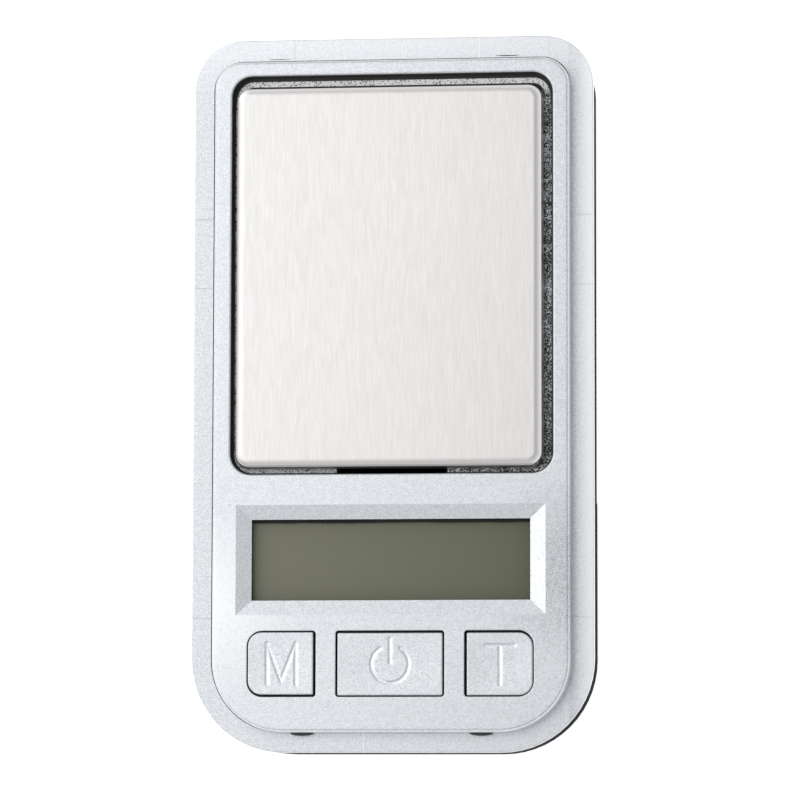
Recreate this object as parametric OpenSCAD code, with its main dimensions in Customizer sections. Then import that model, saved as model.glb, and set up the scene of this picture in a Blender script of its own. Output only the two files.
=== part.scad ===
// Digital gram scale with a steel weighing tray, a display and three buttons.
// Millimetres. X runs across the display, Y from the buttons to the tray, Z up.
// The origin is on the table, below the centre of the case.

/* [Case] */
// Width of the case
case_w = 64; // [63:0.5:68]
// Length of the case
case_l = 114; // [114:0.5:118]
// Corner radius at the tray end
tray_end_r = 8; // [6:0.5:9]
// Corner radius at the button end
key_end_r = 14.8; // [13:0.1:15.5]
// Height of the line where the two shells meet
split_z = 14.6; // [14.6:0.1:14.8]
// Thickness of the flange round the bezel
flange_t = 1.2; // [1:0.1:1.4]
// Height of the bezel above the flange
bezel_h = 3.2; // [3.1:0.1:3.4]

/* [Tray] */
// Width of the tray
tray_w = 49.3; // [46:0.1:50]
// Length of the tray
tray_l = 61; // [56:0.1:61.5]
// Depth of the tray's turned-down edge
tray_edge_h = 2.2; // [2:0.1:2.4]
// Height of the tray's face above the bezel
tray_rise = 0.6; // [0.4:0.1:1.2]
// How far the tray sinks before the overload stop takes the load
tray_travel = 0.3; // [0.2:0.05:0.3]

/* [Display] */
// Width of the display window
window_w = 44.2; // [40:0.1:44.6]
// Height of the display window, along the case
window_l = 12.8; // [11:0.1:13]
// Width of the bevel round the window, at the sides
bevel_x = 2.45; // [1:0.05:2.6]
// Width of the bevel round the window, at its long edges
bevel_y = 2.3; // [1:0.05:2.4]

/* [Buttons] */
// Depth of the button row, along the case
key_l = 10.4; // [9:0.1:10.6]
// Gap round each button cap
key_gap = 0.35; // [0.3:0.05:0.5]
// Travel of a button
key_travel = 0.3; // [0.2:0.05:0.3]
// Depth of the engraved marks
mark_depth = 0.3; // [0.1:0.05:0.5]

/* [Hidden] */

$fn = 64;
eps = 0.1;

// Heights of the case
foot_h = 0.8;
floor_t = 1.2;
floor_z = foot_h + floor_t;
lower_wall = 3;
upper_wall = 2.2;
upper_wall_z = 6;
flange_z = split_z + flange_t;
face_z = flange_z + bezel_h;
skin_t = 1.6;
skin_z = face_z - skin_t;

// Edges of the case and of the bezel
half_w = case_w / 2;
half_l = case_l / 2;
flange_side = 3.25;
flange_key_end = 3.05;
flange_tray_end = 3.5;
bezel_draft = 0.6;
bezel_wall = 1.1;
base_chamfer = 2;
base_chamfer_inset = 2.6;
base_draft = 0.5;
lip_gap = 0.3;
lip_t = 1;
lip_h = 1.4;
label_x = 17;
label_y = [11, 29];
label_t = 0.1;
label_r = 1;
label_gap = 0.3;

// The tray well, with the slot that the load cell and its carrier use
well_side = 6.25;
well_y0 = -13.15;
well_y1 = half_l - 6.35;
well_r = 3.3;
well_wall = 1.1;
ledge_z = face_z - 2.3;
ledge_w = 1.9;
well_floor_z = face_z - 4.9;
well_floor_t = 1;
slot_w = 17.6;
slot_y1 = 43;

// The tray sits a little off the centre of its well
tray_c = [-0.38, (well_y0 + well_y1) / 2 - 0.5];
tray_r = 2.2;
sheet_t = 0.5;
tray_z = face_z + tray_rise;
pad_t = 0.3;
carrier_z = tray_z - sheet_t - pad_t;
carrier_t = 1.2;
pad_inset = 4;
carrier_inset = 2;
rib_h = 2;
rib_t = 1.2;
rib_x = 12;
rib_end = 2.5;

// The load cell lies along the case, fixed at the button end
cell_w = 12;
cell_h = 6;
cell_l = 45;
cell_y0 = -4.3;
cell_z = 4;
cell_y1 = cell_y0 + cell_l;
cell_mid = cell_y0 + cell_l / 2;
cell_top = cell_z + cell_h;
hub_l = 11;
fixed_holes = [cell_y0 + 3.5, cell_y0 + 9.5];
free_holes = [cell_y1 - 9.5, cell_y1 - 3.5];
stop_y = cell_y1 - 6.5;
stop_d = 3;
stop_boss_d = 7;
stop_low_z = foot_h + 0.3;
lobe_d = 4.2;
lobe_y = 4;
lobe_slot = 1.2;
gauge_t = 0.35;
cell_pad_x = 7;
cell_screw_d = 2.5;
cell_head_d = 4.6;
cell_head_h = 1.4;
cell_bore_d = 5;
cell_seat = 1.6;
carrier_seat = 2;
fit = 0.02;

// The circuit board
pcb_t = 0.8;
pcb_z = split_z - pcb_t;
pcb_w = 54;
pcb_y0 = -49;
pcb_y1 = -16;
pcb_screws_at = [[25.5, -18.2], [25.5, -36.6]];
pcb_screw_d = 1.6;
pcb_head_d = 3;
pcb_post_d = 2.6;

// The display: glass pair, polarisers, gasket and connector
window_c = -26.7;
glass_w = 48;
glass_y0 = -36.3;
glass_y1 = -17.6;
rear_glass_y0 = -33.6;
gasket_show = 0.45;
reflector_t = 0.4;
glass_t = 0.7;
polariser_t = 0.2;
rear_glass_z = split_z + reflector_t;
front_glass_z = rear_glass_z + glass_t;
polariser_z = front_glass_z + glass_t;
lcd_face_z = polariser_z + polariser_t;
bevel_depth = 0.7;
zebra_x = 22.5;
zebra_y = [-36.1, -34.1];

// The buttons: [left edge, right edge, side with the large corners]
key_c = -43.1;
mode_x = [-22.7, -11.75];
power_x = [-8.6, 8.6];
tare_x = [11.75, 22.7];
key_big_r = 2.45;
key_small_r = 0.5;
key_rim = 0.7;
key_rim_t = 0.45;
key_rim_z = skin_z - 0.05 - key_rim_t;
plunger_top = key_rim_z - 0.3;
key_hollow_top = 1.1;
key_wall = 0.9;
key_boss_d = 3;
switch_w = 5.2;
switch_h = 1.4;
plunger_d = 2.6;
plunger_z = split_z + 1.1;
mark_w = 0.62;
ring_r = 3.3;
ring_t = 0.65;

// The battery tub, with two AAA cells side by side, and its door
aaa_d = 10.4;
aaa_l = 43.5;
aaa_nub_l = 1;
aaa_z = 7.35;
aaa_y = [-29.6, -40.4];
tub_x = 24.6;
tub_y0 = -46;
tub_y1 = -24;
tub_wall = 1;
tub_top = 12.7;
tub_roof = 0.8;
plate_t = 0.4;
door_gap = 0.3;
tab_x = 12;
tab_w = 8;
tab_l = 1.45;
tab_t = 1;
tab_gap = 0.1;
tongue_x = 5;
tongue_t = 0.6;
tongue_h = 2.4;
notch_d = 10;
grip_w = 14;
grip_t = 0.7;
grip_pitch = 1.5;

// Screws that hold the shells together: [x, y, height of the head's seat]
case_screws_at = [[10.2, -50.7, 9.4], [20, 44, 3.2]];
screw_d = 2;
screw_l = 7.6;
head_d = 3.8;
head_h = 1.3;
post_d = 6.4;
rear_post_z = 6;
front_boss_d = 3;
rear_boss_d = 4.4;

// Feet, and the lid catches on the bezel's walls: [x, y]
feet_at = [[20, -49.5], [24.4, 49.2]];
foot_d = 6.4;
catch_proud = 0.45;
catch_w = 3.75;
catch_x = [18.3, 14.2];
catch_z = flange_z + 1.3;
catch_h = 1.2;
catch_sunk = 0.25;

// ---- shapes used by several pieces ----

// A rectangle whose corners are rounded by ra at its low y end and by rb at its high y end
module outline(x0, x1, y0, y1, ra, rb) {
    mid = (y0 + y1) / 2;
    translate([x0, y0 + ra]) square([x1 - x0, y1 - y0 - ra - rb]);
    translate([x0 + ra, y0]) square([x1 - x0 - 2 * ra, mid - y0]);
    translate([x0 + rb, mid]) square([x1 - x0 - 2 * rb, y1 - mid]);
    for (x = [x0 + ra, x1 - ra]) translate([x, y0 + ra]) circle(r = ra);
    for (x = [x0 + rb, x1 - rb]) translate([x, y1 - rb]) circle(r = rb);
}

// That outline as a plate from z0 to z1
module plate(x0, x1, y0, y1, ra, rb, z0, z1) {
    translate([0, 0, z0]) linear_extrude(z1 - z0) outline(x0, x1, y0, y1, ra, rb);
}

// The case's outline, moved inwards by inset
module case_plate(inset, z0, z1) {
    plate(-half_w + inset, half_w - inset, -half_l + inset, half_l - inset,
          key_end_r - inset, tray_end_r - inset, z0, z1);
}

// The bezel's outline at its foot, moved inwards by inset
module bezel_plate(inset, z0, z1) {
    side = flange_side + inset;
    plate(-half_w + side, half_w - side, -half_l + flange_key_end + inset,
          half_l - flange_tray_end - inset, key_end_r - side, tray_end_r - side, z0, z1);
}

// The tray well's outline, moved outwards by grow
module well_plate(grow, z0, z1) {
    side = half_w - well_side + grow;
    plate(-side, side, well_y0 - grow, well_y1 + grow, well_r + grow, well_r + grow, z0, z1);
}

// A block between two corners
module block(low, high) {
    translate(low) cube(high - low);
}

// An upright rod
module rod(at, z0, z1, d) {
    translate([at[0], at[1], z0]) cylinder(h = z1 - z0, d = d);
}

// The places in both halves of the case, left and right
module both_sides() {
    children();
    mirror([1, 0, 0]) children();
}

// A screw with its head down: the head's seat is at z0 and the shank rises to z0 + len
module screw_up(at, z0, len, d, hd, hh) {
    difference() {
        union() {
            rod(at, z0, z0 + len, d);
            rod(at, z0 - hh, z0, hd);
        }
        for (a = [0, 90]) {
            translate([at[0], at[1], z0 - hh]) rotate([0, 0, a])
                cube([hd * 0.6, hd * 0.14, hh * 1.2], center = true);
        }
    }
}

// A point on the smooth curve through pts, at t from 0 to the number of spans
function curve_at(pts, t) =
    let (
        n = len(pts) - 1,
        i = min(floor(t), n - 1),
        u = t - i,
        a = pts[max(i - 1, 0)],
        b = pts[i],
        c = pts[i + 1],
        d = pts[min(i + 2, n)]
    )
    (2 * b + (c - a) * u + (2 * a - 5 * b + 4 * c - d) * u * u
        + (3 * b - a - 3 * c + d) * u * u * u) / 2;

function unit(v) = v / norm(v);

// A round tube of radius r along the points of path, side up as near to ref as it can be
module tube(path, r, ref, sides = 8) {
    n = len(path);
    rings = [
        for (i = [0 : n - 1])
            let (
                way = unit(path[min(i + 1, n - 1)] - path[max(i - 1, 0)]),
                across = unit(cross(way, ref)),
                up = cross(across, way)
            )
            for (k = [0 : sides - 1])
                path[i] + r * (cos(360 * k / sides) * across + sin(360 * k / sides) * up)
    ];
    walls = [
        for (i = [0 : n - 2])
            for (k = [0 : sides - 1])
                let (m = (k + 1) % sides)
                [i * sides + k, i * sides + m, (i + 1) * sides + m, (i + 1) * sides + k]
    ];
    near_end = [for (k = [0 : sides - 1]) sides - 1 - k];
    far_end = [for (k = [0 : sides - 1]) (n - 1) * sides + k];
    polyhedron(rings, concat([near_end], walls, [far_end]));
}

// ---- shells ----

module bezel() {
    hull() {
        $fn = 32;
        bezel_plate(0, split_z + 0.4, flange_z);
        bezel_plate(bezel_draft, face_z - 0.2, face_z);
    }
}

// A lens-shaped catch on an end wall of the bezel, at [x, wall's y], with its face to dir
module lid_catch(x, wall_y, dir) {
    r = catch_w * catch_w / (8 * catch_proud) + catch_proud / 2;
    rod([x, wall_y - dir * (r - catch_proud)], catch_z, catch_z + catch_h, 2 * r);
}

// The hole in the skin for one button
module key_hole(xs, ra, rb) {
    plate_x(xs[0], xs[1], key_c - key_l / 2, key_c + key_l / 2, ra, rb,
            skin_z - 2 * eps, face_z + eps);
}

// A plate whose corners are rounded by ra at low x and by rb at high x
module plate_x(x0, x1, y0, y1, ra, rb, z0, z1) {
    translate([0, 0, z0]) linear_extrude(z1 - z0) rotate(-90) outline(-y1, -y0, x0, x1, ra, rb);
}

module window_cut() {
    x = window_w / 2;
    y = window_l / 2;
    block([-x, window_c - y, skin_z - 2 * eps], [x, window_c + y, face_z]);
    translate([0, window_c, 0]) hull() {
        block([-x, -y, face_z - bevel_depth], [x, y, face_z - bevel_depth + 0.01]);
        block([-x - bevel_x, -y - bevel_y, face_z], [x + bevel_x, y + bevel_y, face_z + 0.3]);
    }
}

module top_shell() {
    color("silver") difference() {
        union() {
            difference() {
                union() {
                    case_plate(0, split_z, flange_z);
                    bezel();
                    both_sides() {
                        lid_catch(catch_x[0], half_l - flange_tray_end - catch_sunk, 1);
                        lid_catch(catch_x[1], -half_l + flange_key_end + catch_sunk, -1);
                    }
                }
                bezel_plate(bezel_wall, split_z - eps, skin_z);
                well_plate(0, flange_z, face_z + eps);
                window_cut();
                key_hole(mode_x, key_big_r, key_small_r);
                key_hole(power_x, key_small_r, key_small_r);
                key_hole(tare_x, key_small_r, key_big_r);
            }
            // the well's walls, its floor and the ledge below the tray's edge
            difference() {
                well_plate(well_wall, well_floor_z - well_floor_t, skin_z + eps);
                well_plate(0, ledge_z, face_z + eps);
                well_plate(-ledge_w, well_floor_z, ledge_z + eps);
                block([-slot_w / 2, well_y0, well_floor_z - 2 * well_floor_t],
                      [slot_w / 2, slot_y1, ledge_z + eps]);
            }
            // the lip that centres the shells
            difference() {
                case_plate(upper_wall + lip_gap, split_z - lip_h, split_z + eps);
                case_plate(upper_wall + lip_gap + lip_t, split_z - lip_h - eps,
                           split_z + 2 * eps);
                both_sides() rod(case_screws_at[0], split_z - lip_h - eps, split_z + 2 * eps,
                                 post_d + 0.6);
            }
            both_sides() {
                rod(case_screws_at[0], split_z, skin_z + eps, front_boss_d);
                rod(case_screws_at[1], rear_post_z, well_floor_z - well_floor_t / 2, rear_boss_d);
                for (p = pcb_screws_at) rod(p, split_z, skin_z + eps, pcb_post_d);
            }
        }
        both_sides() {
            for (p = case_screws_at) {
                rod(p, p[2], p[2] + screw_l + 0.2, screw_d + 2 * fit);
            }
            for (p = pcb_screws_at) rod(p, split_z - eps, skin_z - 0.3, pcb_screw_d + 2 * fit);
        }
    }
}

module base_shell() {
    color("dimgray") difference() {
        union() {
            difference() {
                hull() {
                    $fn = 32;
                    // the draft of the two ends is all at the tray's end
                    translate([0, -base_draft, 0]) {
                        case_plate(base_chamfer_inset, foot_h, foot_h + 0.1);
                        case_plate(base_draft, foot_h + base_chamfer,
                                   foot_h + base_chamfer + 0.1);
                    }
                    case_plate(0, split_z - 0.1, split_z);
                }
                case_plate(lower_wall, floor_z, upper_wall_z + eps);
                case_plate(upper_wall, upper_wall_z, split_z + eps);
            }
            // battery tub
            block([-tub_x - tub_wall, tub_y0 - tub_wall, floor_z - eps],
                  [tub_x + tub_wall, tub_y1 + tub_wall, tub_top + tub_roof]);
            // pad and stop boss below the load cell
            block([-cell_pad_x, cell_y0 - 1.2, floor_z - eps],
                  [cell_pad_x, fixed_holes[1] + 3.5, cell_z]);
            rod([0, stop_y], floor_z - eps, floor_z + 1.2, stop_boss_d);
            both_sides() {
                rod(case_screws_at[0], floor_z - eps, split_z - eps, post_d);
                rod(case_screws_at[1], floor_z - eps, rear_post_z, post_d);
            }
        }
        block([-tub_x, tub_y0, 0], [tub_x, tub_y1, tub_top]);
        both_sides() {
            // slots for the door's tabs
            block([tab_x - tab_w / 2 - 0.3, tub_y1 - eps, floor_z],
                  [tab_x + tab_w / 2 + 0.3, tub_y1 + 1.6, floor_z + 2]);
            for (p = case_screws_at) {
                rod(p, 0, p[2], head_d + 0.4);
                rod(p, p[2] - eps, p[2] + screw_l, screw_d + 0.4);
            }
            // room for the heads of the board screws
            for (p = pcb_screws_at) rod(p, tub_top - 0.4, split_z, 3.8);
        }
        // slots for the solder tabs of the two battery contacts
        for (y = aaa_y) {
            block([-tub_x - 2 * tub_wall, y - 1.2, 9.4], [-tub_x + eps, y + 1.2, 10.6]);
        }
        for (y = fixed_holes) {
            rod([0, y], 0, cell_z - cell_seat, cell_bore_d);
            rod([0, y], 0, cell_z + eps, cell_screw_d + 0.3);
        }
        rod([0, stop_y], 0, floor_z + 2, stop_d + 2 * fit);
        // thumb notch beside the door, and the label's recess
        rod([0, tub_y0 - 0.2], 0, foot_h + 0.6, notch_d);
        block([-label_x, label_y[0], 0], [label_x, label_y[1], foot_h + label_t]);
    }
}

module battery_door() {
    color("dimgray") difference() {
        union() {
            block([-tub_x + door_gap, tub_y0 + door_gap, foot_h],
                  [tub_x - door_gap, tub_y1 - door_gap, floor_z]);
            both_sides() {
                block([tab_x - tab_w / 2, tub_y1 - door_gap - 1, floor_z - eps],
                      [tab_x + tab_w / 2, tub_y1 - door_gap, floor_z + tab_gap + tab_t]);
                block([tab_x - tab_w / 2, tub_y1 - door_gap - eps, floor_z + tab_gap],
                      [tab_x + tab_w / 2, tub_y1 - door_gap + tab_l, floor_z + tab_gap + tab_t]);
            }
            // snap tongue at the thumb notch
            block([-tongue_x, tub_y0 + 0.5, floor_z - eps],
                  [tongue_x, tub_y0 + 0.5 + tongue_t, floor_z + tongue_h]);
        }
        // grip grooves
        for (i = [0 : 3]) {
            translate([0, tub_y0 + 3 + grip_pitch * i, foot_h])
                cube([grip_w, grip_t, 0.6], center = true);
        }
    }
}

module case_screws() {
    color("gainsboro") both_sides() {
        for (p = case_screws_at) screw_up(p, p[2], screw_l, screw_d, head_d, head_h);
    }
}

module rubber_feet() {
    color("black") both_sides() {
        for (p = feet_at) rod(p, 0, foot_h, foot_d);
    }
}

module rating_label() {
    x = label_x - label_gap;
    color("white") plate(-x, x, label_y[0] + label_gap, label_y[1] - label_gap,
                         label_r, label_r, foot_h, foot_h + label_t);
}

// ---- weighing ----

// The tray's outline, moved inwards by inset
module tray_plate(inset, z0, z1) {
    x = tray_w / 2 - inset;
    y = tray_l / 2 - inset;
    plate(tray_c[0] - x, tray_c[0] + x, tray_c[1] - y, tray_c[1] + y,
          tray_r - min(inset, tray_r - 1), tray_r - min(inset, tray_r - 1), z0, z1);
}

module weighing_tray() {
    color("lightgray") difference() {
        tray_plate(0, tray_z - tray_edge_h, tray_z);
        tray_plate(sheet_t, tray_z - tray_edge_h - eps, tray_z - sheet_t);
    }
}

module tray_pad() {
    color("whitesmoke") tray_plate(pad_inset, carrier_z, carrier_z + pad_t);
}

module tray_carrier() {
    low = carrier_z - carrier_t;
    color("dimgray") difference() {
        union() {
            tray_plate(carrier_inset, low, carrier_z);
            // a stiffening rim, two long ribs and the hub on the load cell
            difference() {
                tray_plate(carrier_inset, low - rib_h, low + eps);
                tray_plate(carrier_inset + rib_t, low - rib_h - eps, low + 2 * eps);
            }
            for (x = [-rib_x, rib_x]) {
                block([x - rib_t / 2, tray_c[1] - tray_l / 2 + rib_end, low - rib_h],
                      [x + rib_t / 2, tray_c[1] + tray_l / 2 - rib_end, low + eps]);
            }
            block([-cell_w / 2, cell_y1 - hub_l, cell_top], [cell_w / 2, cell_y1, low + eps]);
        }
        for (y = free_holes) {
            rod([0, y], cell_top - eps, carrier_z + eps, cell_screw_d + 0.3);
            rod([0, y], cell_top + carrier_seat, carrier_z + eps, cell_bore_d);
        }
    }
}

module load_cell() {
    color("silver") difference() {
        block([-cell_w / 2, cell_y0, cell_z], [cell_w / 2, cell_y1, cell_top]);
        // the binocular hole
        translate([-cell_w, cell_mid, cell_z + cell_h / 2]) rotate([0, 90, 0]) {
            for (y = [-lobe_y, lobe_y]) {
                translate([0, y, 0]) cylinder(h = 2 * cell_w, d = lobe_d);
            }
            translate([-lobe_slot / 2, -lobe_y, 0]) cube([lobe_slot, 2 * lobe_y, 2 * cell_w]);
        }
        for (y = concat(fixed_holes, free_holes)) {
            rod([0, y], cell_z - eps, cell_top + eps, cell_screw_d + 2 * fit);
        }
    }
}

module strain_gauges() {
    color("ivory") for (y = [cell_mid - lobe_y, cell_mid + lobe_y]) {
        for (z = [cell_z - gauge_t, cell_top]) {
            plate(-3, 3, y - 2.6, y + 2.6, 0.8, 0.8, z, z + gauge_t);
        }
    }
}

module load_cell_base_screws() {
    color("gainsboro") for (y = fixed_holes) {
        screw_up([0, y], cell_z - cell_seat, 6.6, cell_screw_d, cell_head_d, cell_head_h);
    }
}

module load_cell_carrier_screws() {
    color("gainsboro") for (y = free_holes) {
        translate([0, 0, cell_top + carrier_seat]) rotate([180, 0, 0])
            screw_up([0, -y], 0, 7, cell_screw_d, cell_head_d, cell_head_h);
    }
}

module overload_stop_screw() {
    color("gainsboro") difference() {
        rod([0, stop_y], stop_low_z, cell_z - tray_travel - 0.05, stop_d);
        translate([0, stop_y, stop_low_z]) cube([stop_d + 1, 0.6, 1.2], center = true);
    }
}

// ---- electronics ----

module main_pcb() {
    color("darkgreen") difference() {
        plate(-pcb_w / 2, pcb_w / 2, pcb_y0, pcb_y1, 8, 1, pcb_z, split_z);
        both_sides() {
            for (p = pcb_screws_at) rod(p, pcb_z - eps, split_z + eps, 1.9);
            // notches for the case's front posts
            rod(case_screws_at[0], pcb_z - eps, split_z + eps, post_d + 0.6);
        }
    }
}

module chip_blob() {
    color("black") translate([-3, -19.5, pcb_z - 1.3]) cylinder(h = 1.3, d1 = 3.4, d2 = 5.6);
}

module smd_parts() {
    color("darkslategray") {
        block([-17, -21.6, pcb_z - 1.2], [-12, -17.7, pcb_z]);
        for (i = [0 : 3]) {
            block([-10.6 + 1.4 * i, -22.4, pcb_z - 0.6], [-9.8 + 1.4 * i, -20.8, pcb_z]);
        }
        for (x = [15, 17.2]) block([x, -21, pcb_z - 0.9], [x + 1.2, -18.9, pcb_z]);
        // crystal
        translate([18.9, -19.8, pcb_z - 1.1]) rotate([0, 90, 0]) cylinder(h = 4.6, d = 2);
    }
}

module pcb_screws() {
    color("gainsboro") both_sides() {
        for (p = pcb_screws_at) screw_up(p, pcb_z, 3, pcb_screw_d, pcb_head_d, 0.8);
    }
}

module lcd_front_polariser() {
    color([0.42, 0.42, 0.37])
        block([-glass_w / 2 + 0.3, glass_y0 + 0.2, polariser_z],
              [glass_w / 2 - 0.3, glass_y1 - 0.2, lcd_face_z]);
}

module lcd_front_glass() {
    color("lightcyan")
        block([-glass_w / 2, glass_y0, front_glass_z], [glass_w / 2, glass_y1, polariser_z]);
}

module lcd_rear_glass() {
    color("lightcyan")
        block([-glass_w / 2, rear_glass_y0, rear_glass_z], [glass_w / 2, glass_y1, front_glass_z]);
}

module lcd_reflector() {
    color("gray")
        block([-glass_w / 2 + 0.3, rear_glass_y0 + 0.2, split_z],
              [glass_w / 2 - 0.3, glass_y1 - 0.2, rear_glass_z]);
}

module lcd_gasket() {
    clear = 0.2;
    x = window_w / 2 + clear;
    color("black") difference() {
        block([-glass_w / 2 + 0.4, glass_y0 + 0.7, lcd_face_z],
              [glass_w / 2 - 0.4, glass_y1 - 0.3, skin_z]);
        block([-x, window_c - window_l / 2 - clear, lcd_face_z - eps],
              [x, window_c + window_l / 2 - gasket_show, skin_z + eps]);
    }
}

module zebra_strip() {
    color("pink")
        block([-zebra_x, zebra_y[0], split_z], [zebra_x, zebra_y[1], front_glass_z]);
}

// ---- buttons ----

// A cap in its opening, with a rim below the skin and a boss down to the plunger
module key_cap(xs, ra, rb) {
    x0 = xs[0] + key_gap;
    x1 = xs[1] - key_gap;
    y = key_l / 2;
    mid = (x0 + x1) / 2;
    hollow_z = face_z - key_hollow_top;
    difference() {
        union() {
            plate_x(x0, x1, key_c - y + key_gap, key_c + y - key_gap,
                    max(ra - key_gap, 0.3), max(rb - key_gap, 0.3), key_rim_z + eps, face_z);
            block([xs[0] - key_rim + 0.1, key_c - y - key_rim + 0.1, key_rim_z],
                  [xs[1] + key_rim - 0.1, key_c + y + key_rim - 0.1, key_rim_z + key_rim_t]);
        }
        difference() {
            block([x0 + key_wall, key_c - y + key_gap + key_wall, key_rim_z - eps],
                  [x1 - key_wall, key_c + y - key_gap - key_wall, hollow_z]);
            rod([mid, key_c], key_rim_z - 2 * eps, face_z, key_boss_d + 1);
        }
    }
    rod([mid, key_c], plunger_top, key_rim_z + eps, key_boss_d);
}

// A stroke of an engraved mark, from a to b on the cap's face
module stroke(a, b) {
    way = b - a;
    translate([a[0], a[1], face_z - mark_depth])
        rotate([0, 0, atan2(way[1], way[0])])
            translate([0, -mark_w / 2, 0]) cube([norm(way), mark_w, mark_depth + eps]);
}

module mode_mark() {
    x = (mode_x[0] + mode_x[1]) / 2;
    for (s = [-1, 1]) {
        stroke([x + s * 2.5, key_c - 3.2], [x + s * 2.5, key_c + 3.2]);
        stroke([x + s * 2.5, key_c + 3], [x, key_c - 3]);
    }
}

// A ring open at its top, with an upright bar in the gap
module power_mark() {
    difference() {
        translate([0, key_c, face_z - mark_depth]) difference() {
            cylinder(h = mark_depth + eps, r = ring_r);
            translate([0, 0, -eps]) cylinder(h = mark_depth + 3 * eps, r = ring_r - ring_t);
        }
        block([-1.7, key_c + 1.5, face_z - 1], [1.7, key_c + 4, face_z + 1]);
    }
    stroke([0, key_c + 0.2], [0, key_c + 4.1]);
}

module tare_mark() {
    x = (tare_x[0] + tare_x[1]) / 2;
    stroke([x - 2.4, key_c + 2.9], [x + 2.4, key_c + 2.9]);
    stroke([x, key_c - 3.2], [x, key_c + 2.9]);
}

module mode_button() {
    color("gainsboro") difference() {
        key_cap(mode_x, key_big_r, key_small_r);
        mode_mark();
    }
}

module power_button() {
    color("gainsboro") difference() {
        key_cap(power_x, key_small_r, key_small_r);
        power_mark();
    }
}

module tare_button() {
    color("gainsboro") difference() {
        key_cap(tare_x, key_small_r, key_big_r);
        tare_mark();
    }
}

// The body of a tact switch, below the middle of its cap
module tact_switch(xs) {
    x = (xs[0] + xs[1]) / 2;
    h = switch_w / 2;
    color("darkslategray") difference() {
        union() {
            block([x - h, key_c - h, split_z], [x + h, key_c + h, split_z + switch_h]);
            // solder legs
            for (sx = [-1, 1]) {
                for (y = [key_c - 1.8, key_c + 1.8]) {
                    translate([x + sx * (h + 0.4), y, split_z + 0.1])
                        cube([1.2, 0.7, 0.2], center = true);
                }
            }
        }
        rod([x, key_c], plunger_z - key_travel - 0.1, split_z + 2, plunger_d + 0.1);
    }
}

// The plunger of a tact switch
module tact_plunger(xs) {
    color("black") rod([(xs[0] + xs[1]) / 2, key_c], plunger_z, plunger_top, plunger_d);
}

module mode_switch() {
    tact_switch(mode_x);
}

module power_switch() {
    tact_switch(power_x);
}

module tare_switch() {
    tact_switch(tare_x);
}

module mode_plunger() {
    tact_plunger(mode_x);
}

module power_plunger() {
    tact_plunger(power_x);
}

module tare_plunger() {
    tact_plunger(tare_x);
}

// ---- power ----

// An AAA cell whose positive end points to +X
module aaa_cell() {
    end_x = tub_x - plate_t - aaa_nub_l;
    translate([end_x - aaa_l, 0, aaa_z]) rotate([0, 90, 0]) cylinder(h = aaa_l, d = aaa_d);
    translate([end_x - eps, 0, aaa_z]) rotate([0, 90, 0])
        cylinder(h = aaa_nub_l + eps, d = 3.8);
}

module battery_1() {
    color("goldenrod") translate([0, aaa_y[0], 0]) aaa_cell();
}

module battery_2() {
    color("goldenrod") translate([0, aaa_y[1], 0]) mirror([1, 0, 0]) aaa_cell();
}

// A contact plate on the tub's end wall at -X, with a tab through the wall
module contact_plate(y) {
    block([-tub_x, y - 4, 3], [-tub_x + plate_t, y + 4, 12]);
    block([-tub_x - tub_wall - 1.2, y - 1, 9.8], [-tub_x + eps, y + 1, 10.2]);
}

module negative_contact() {
    color("silver") contact_plate(aaa_y[0]);
}

module positive_contact() {
    color("silver") contact_plate(aaa_y[1]);
}

module bridge_contact() {
    color("silver")
        block([tub_x - plate_t, aaa_y[1] - 4, 3], [tub_x, aaa_y[0] + 4, 12]);
}

// A conical spring along X, from the plate to the flat end of a cell
module contact_spring() {
    wire_r = 0.25;
    x0 = -tub_x + plate_t + wire_r + fit;
    x1 = tub_x - plate_t - aaa_nub_l - aaa_l - wire_r - fit;
    turns = 3;
    steps = 14 * turns;
    tube([
        for (i = [0 : steps])
            let (
                a = 360 * turns * i / steps,
                r = 3.4 - 1.6 * i / steps
            )
            [x0 + (x1 - x0) * i / steps, r * cos(a), aaa_z + r * sin(a)]
    ], wire_r, [1, 0, 0], 6);
}

module battery_springs() {
    color("silver") {
        translate([0, aaa_y[0], 0]) contact_spring();
        translate([0, aaa_y[1], 0]) mirror([1, 0, 0]) contact_spring();
    }
}

// A thin wire along the smooth curve through pts, with four steps a span
module wire(pts, r) {
    steps = 4 * (len(pts) - 1);
    tube([for (i = [0 : steps]) curve_at(pts, i / 4)], r, [0.3, 0.2, 1]);
}

module load_cell_wires() {
    colours = ["red", "black", "green", "white"];
    for (i = [0 : 3]) {
        y = 13 + 1.2 * i;
        x = 8 + 1.2 * i;
        color(colours[i])
            wire([[1, y, 10.8], [4, y, 10.8], [x - 1, y - 0.6, 10.4], [x, y - 4, 9],
                  [x, 2, 8.5], [x, -8, 8.5], [x, -15, 9], [x, -19.4, 11.5],
                  [x, -19.8, 13], [x, -19.8, pcb_z - fit]], 0.4);
    }
}

module battery_wires() {
    colours = ["black", "red"];
    for (i = [0 : 1]) {
        y = aaa_y[i];
        color(colours[i])
            wire([[-26.8, y, 10.7], [-28, y + 2, 11], [-28.2, y + 5, 11.5],
                  [-26.8, y + 8, 12.4], [-26.3, y + 8.6, 13.2],
                  [-26.3, y + 8.6, pcb_z - fit]], 0.45);
    }
}

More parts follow.
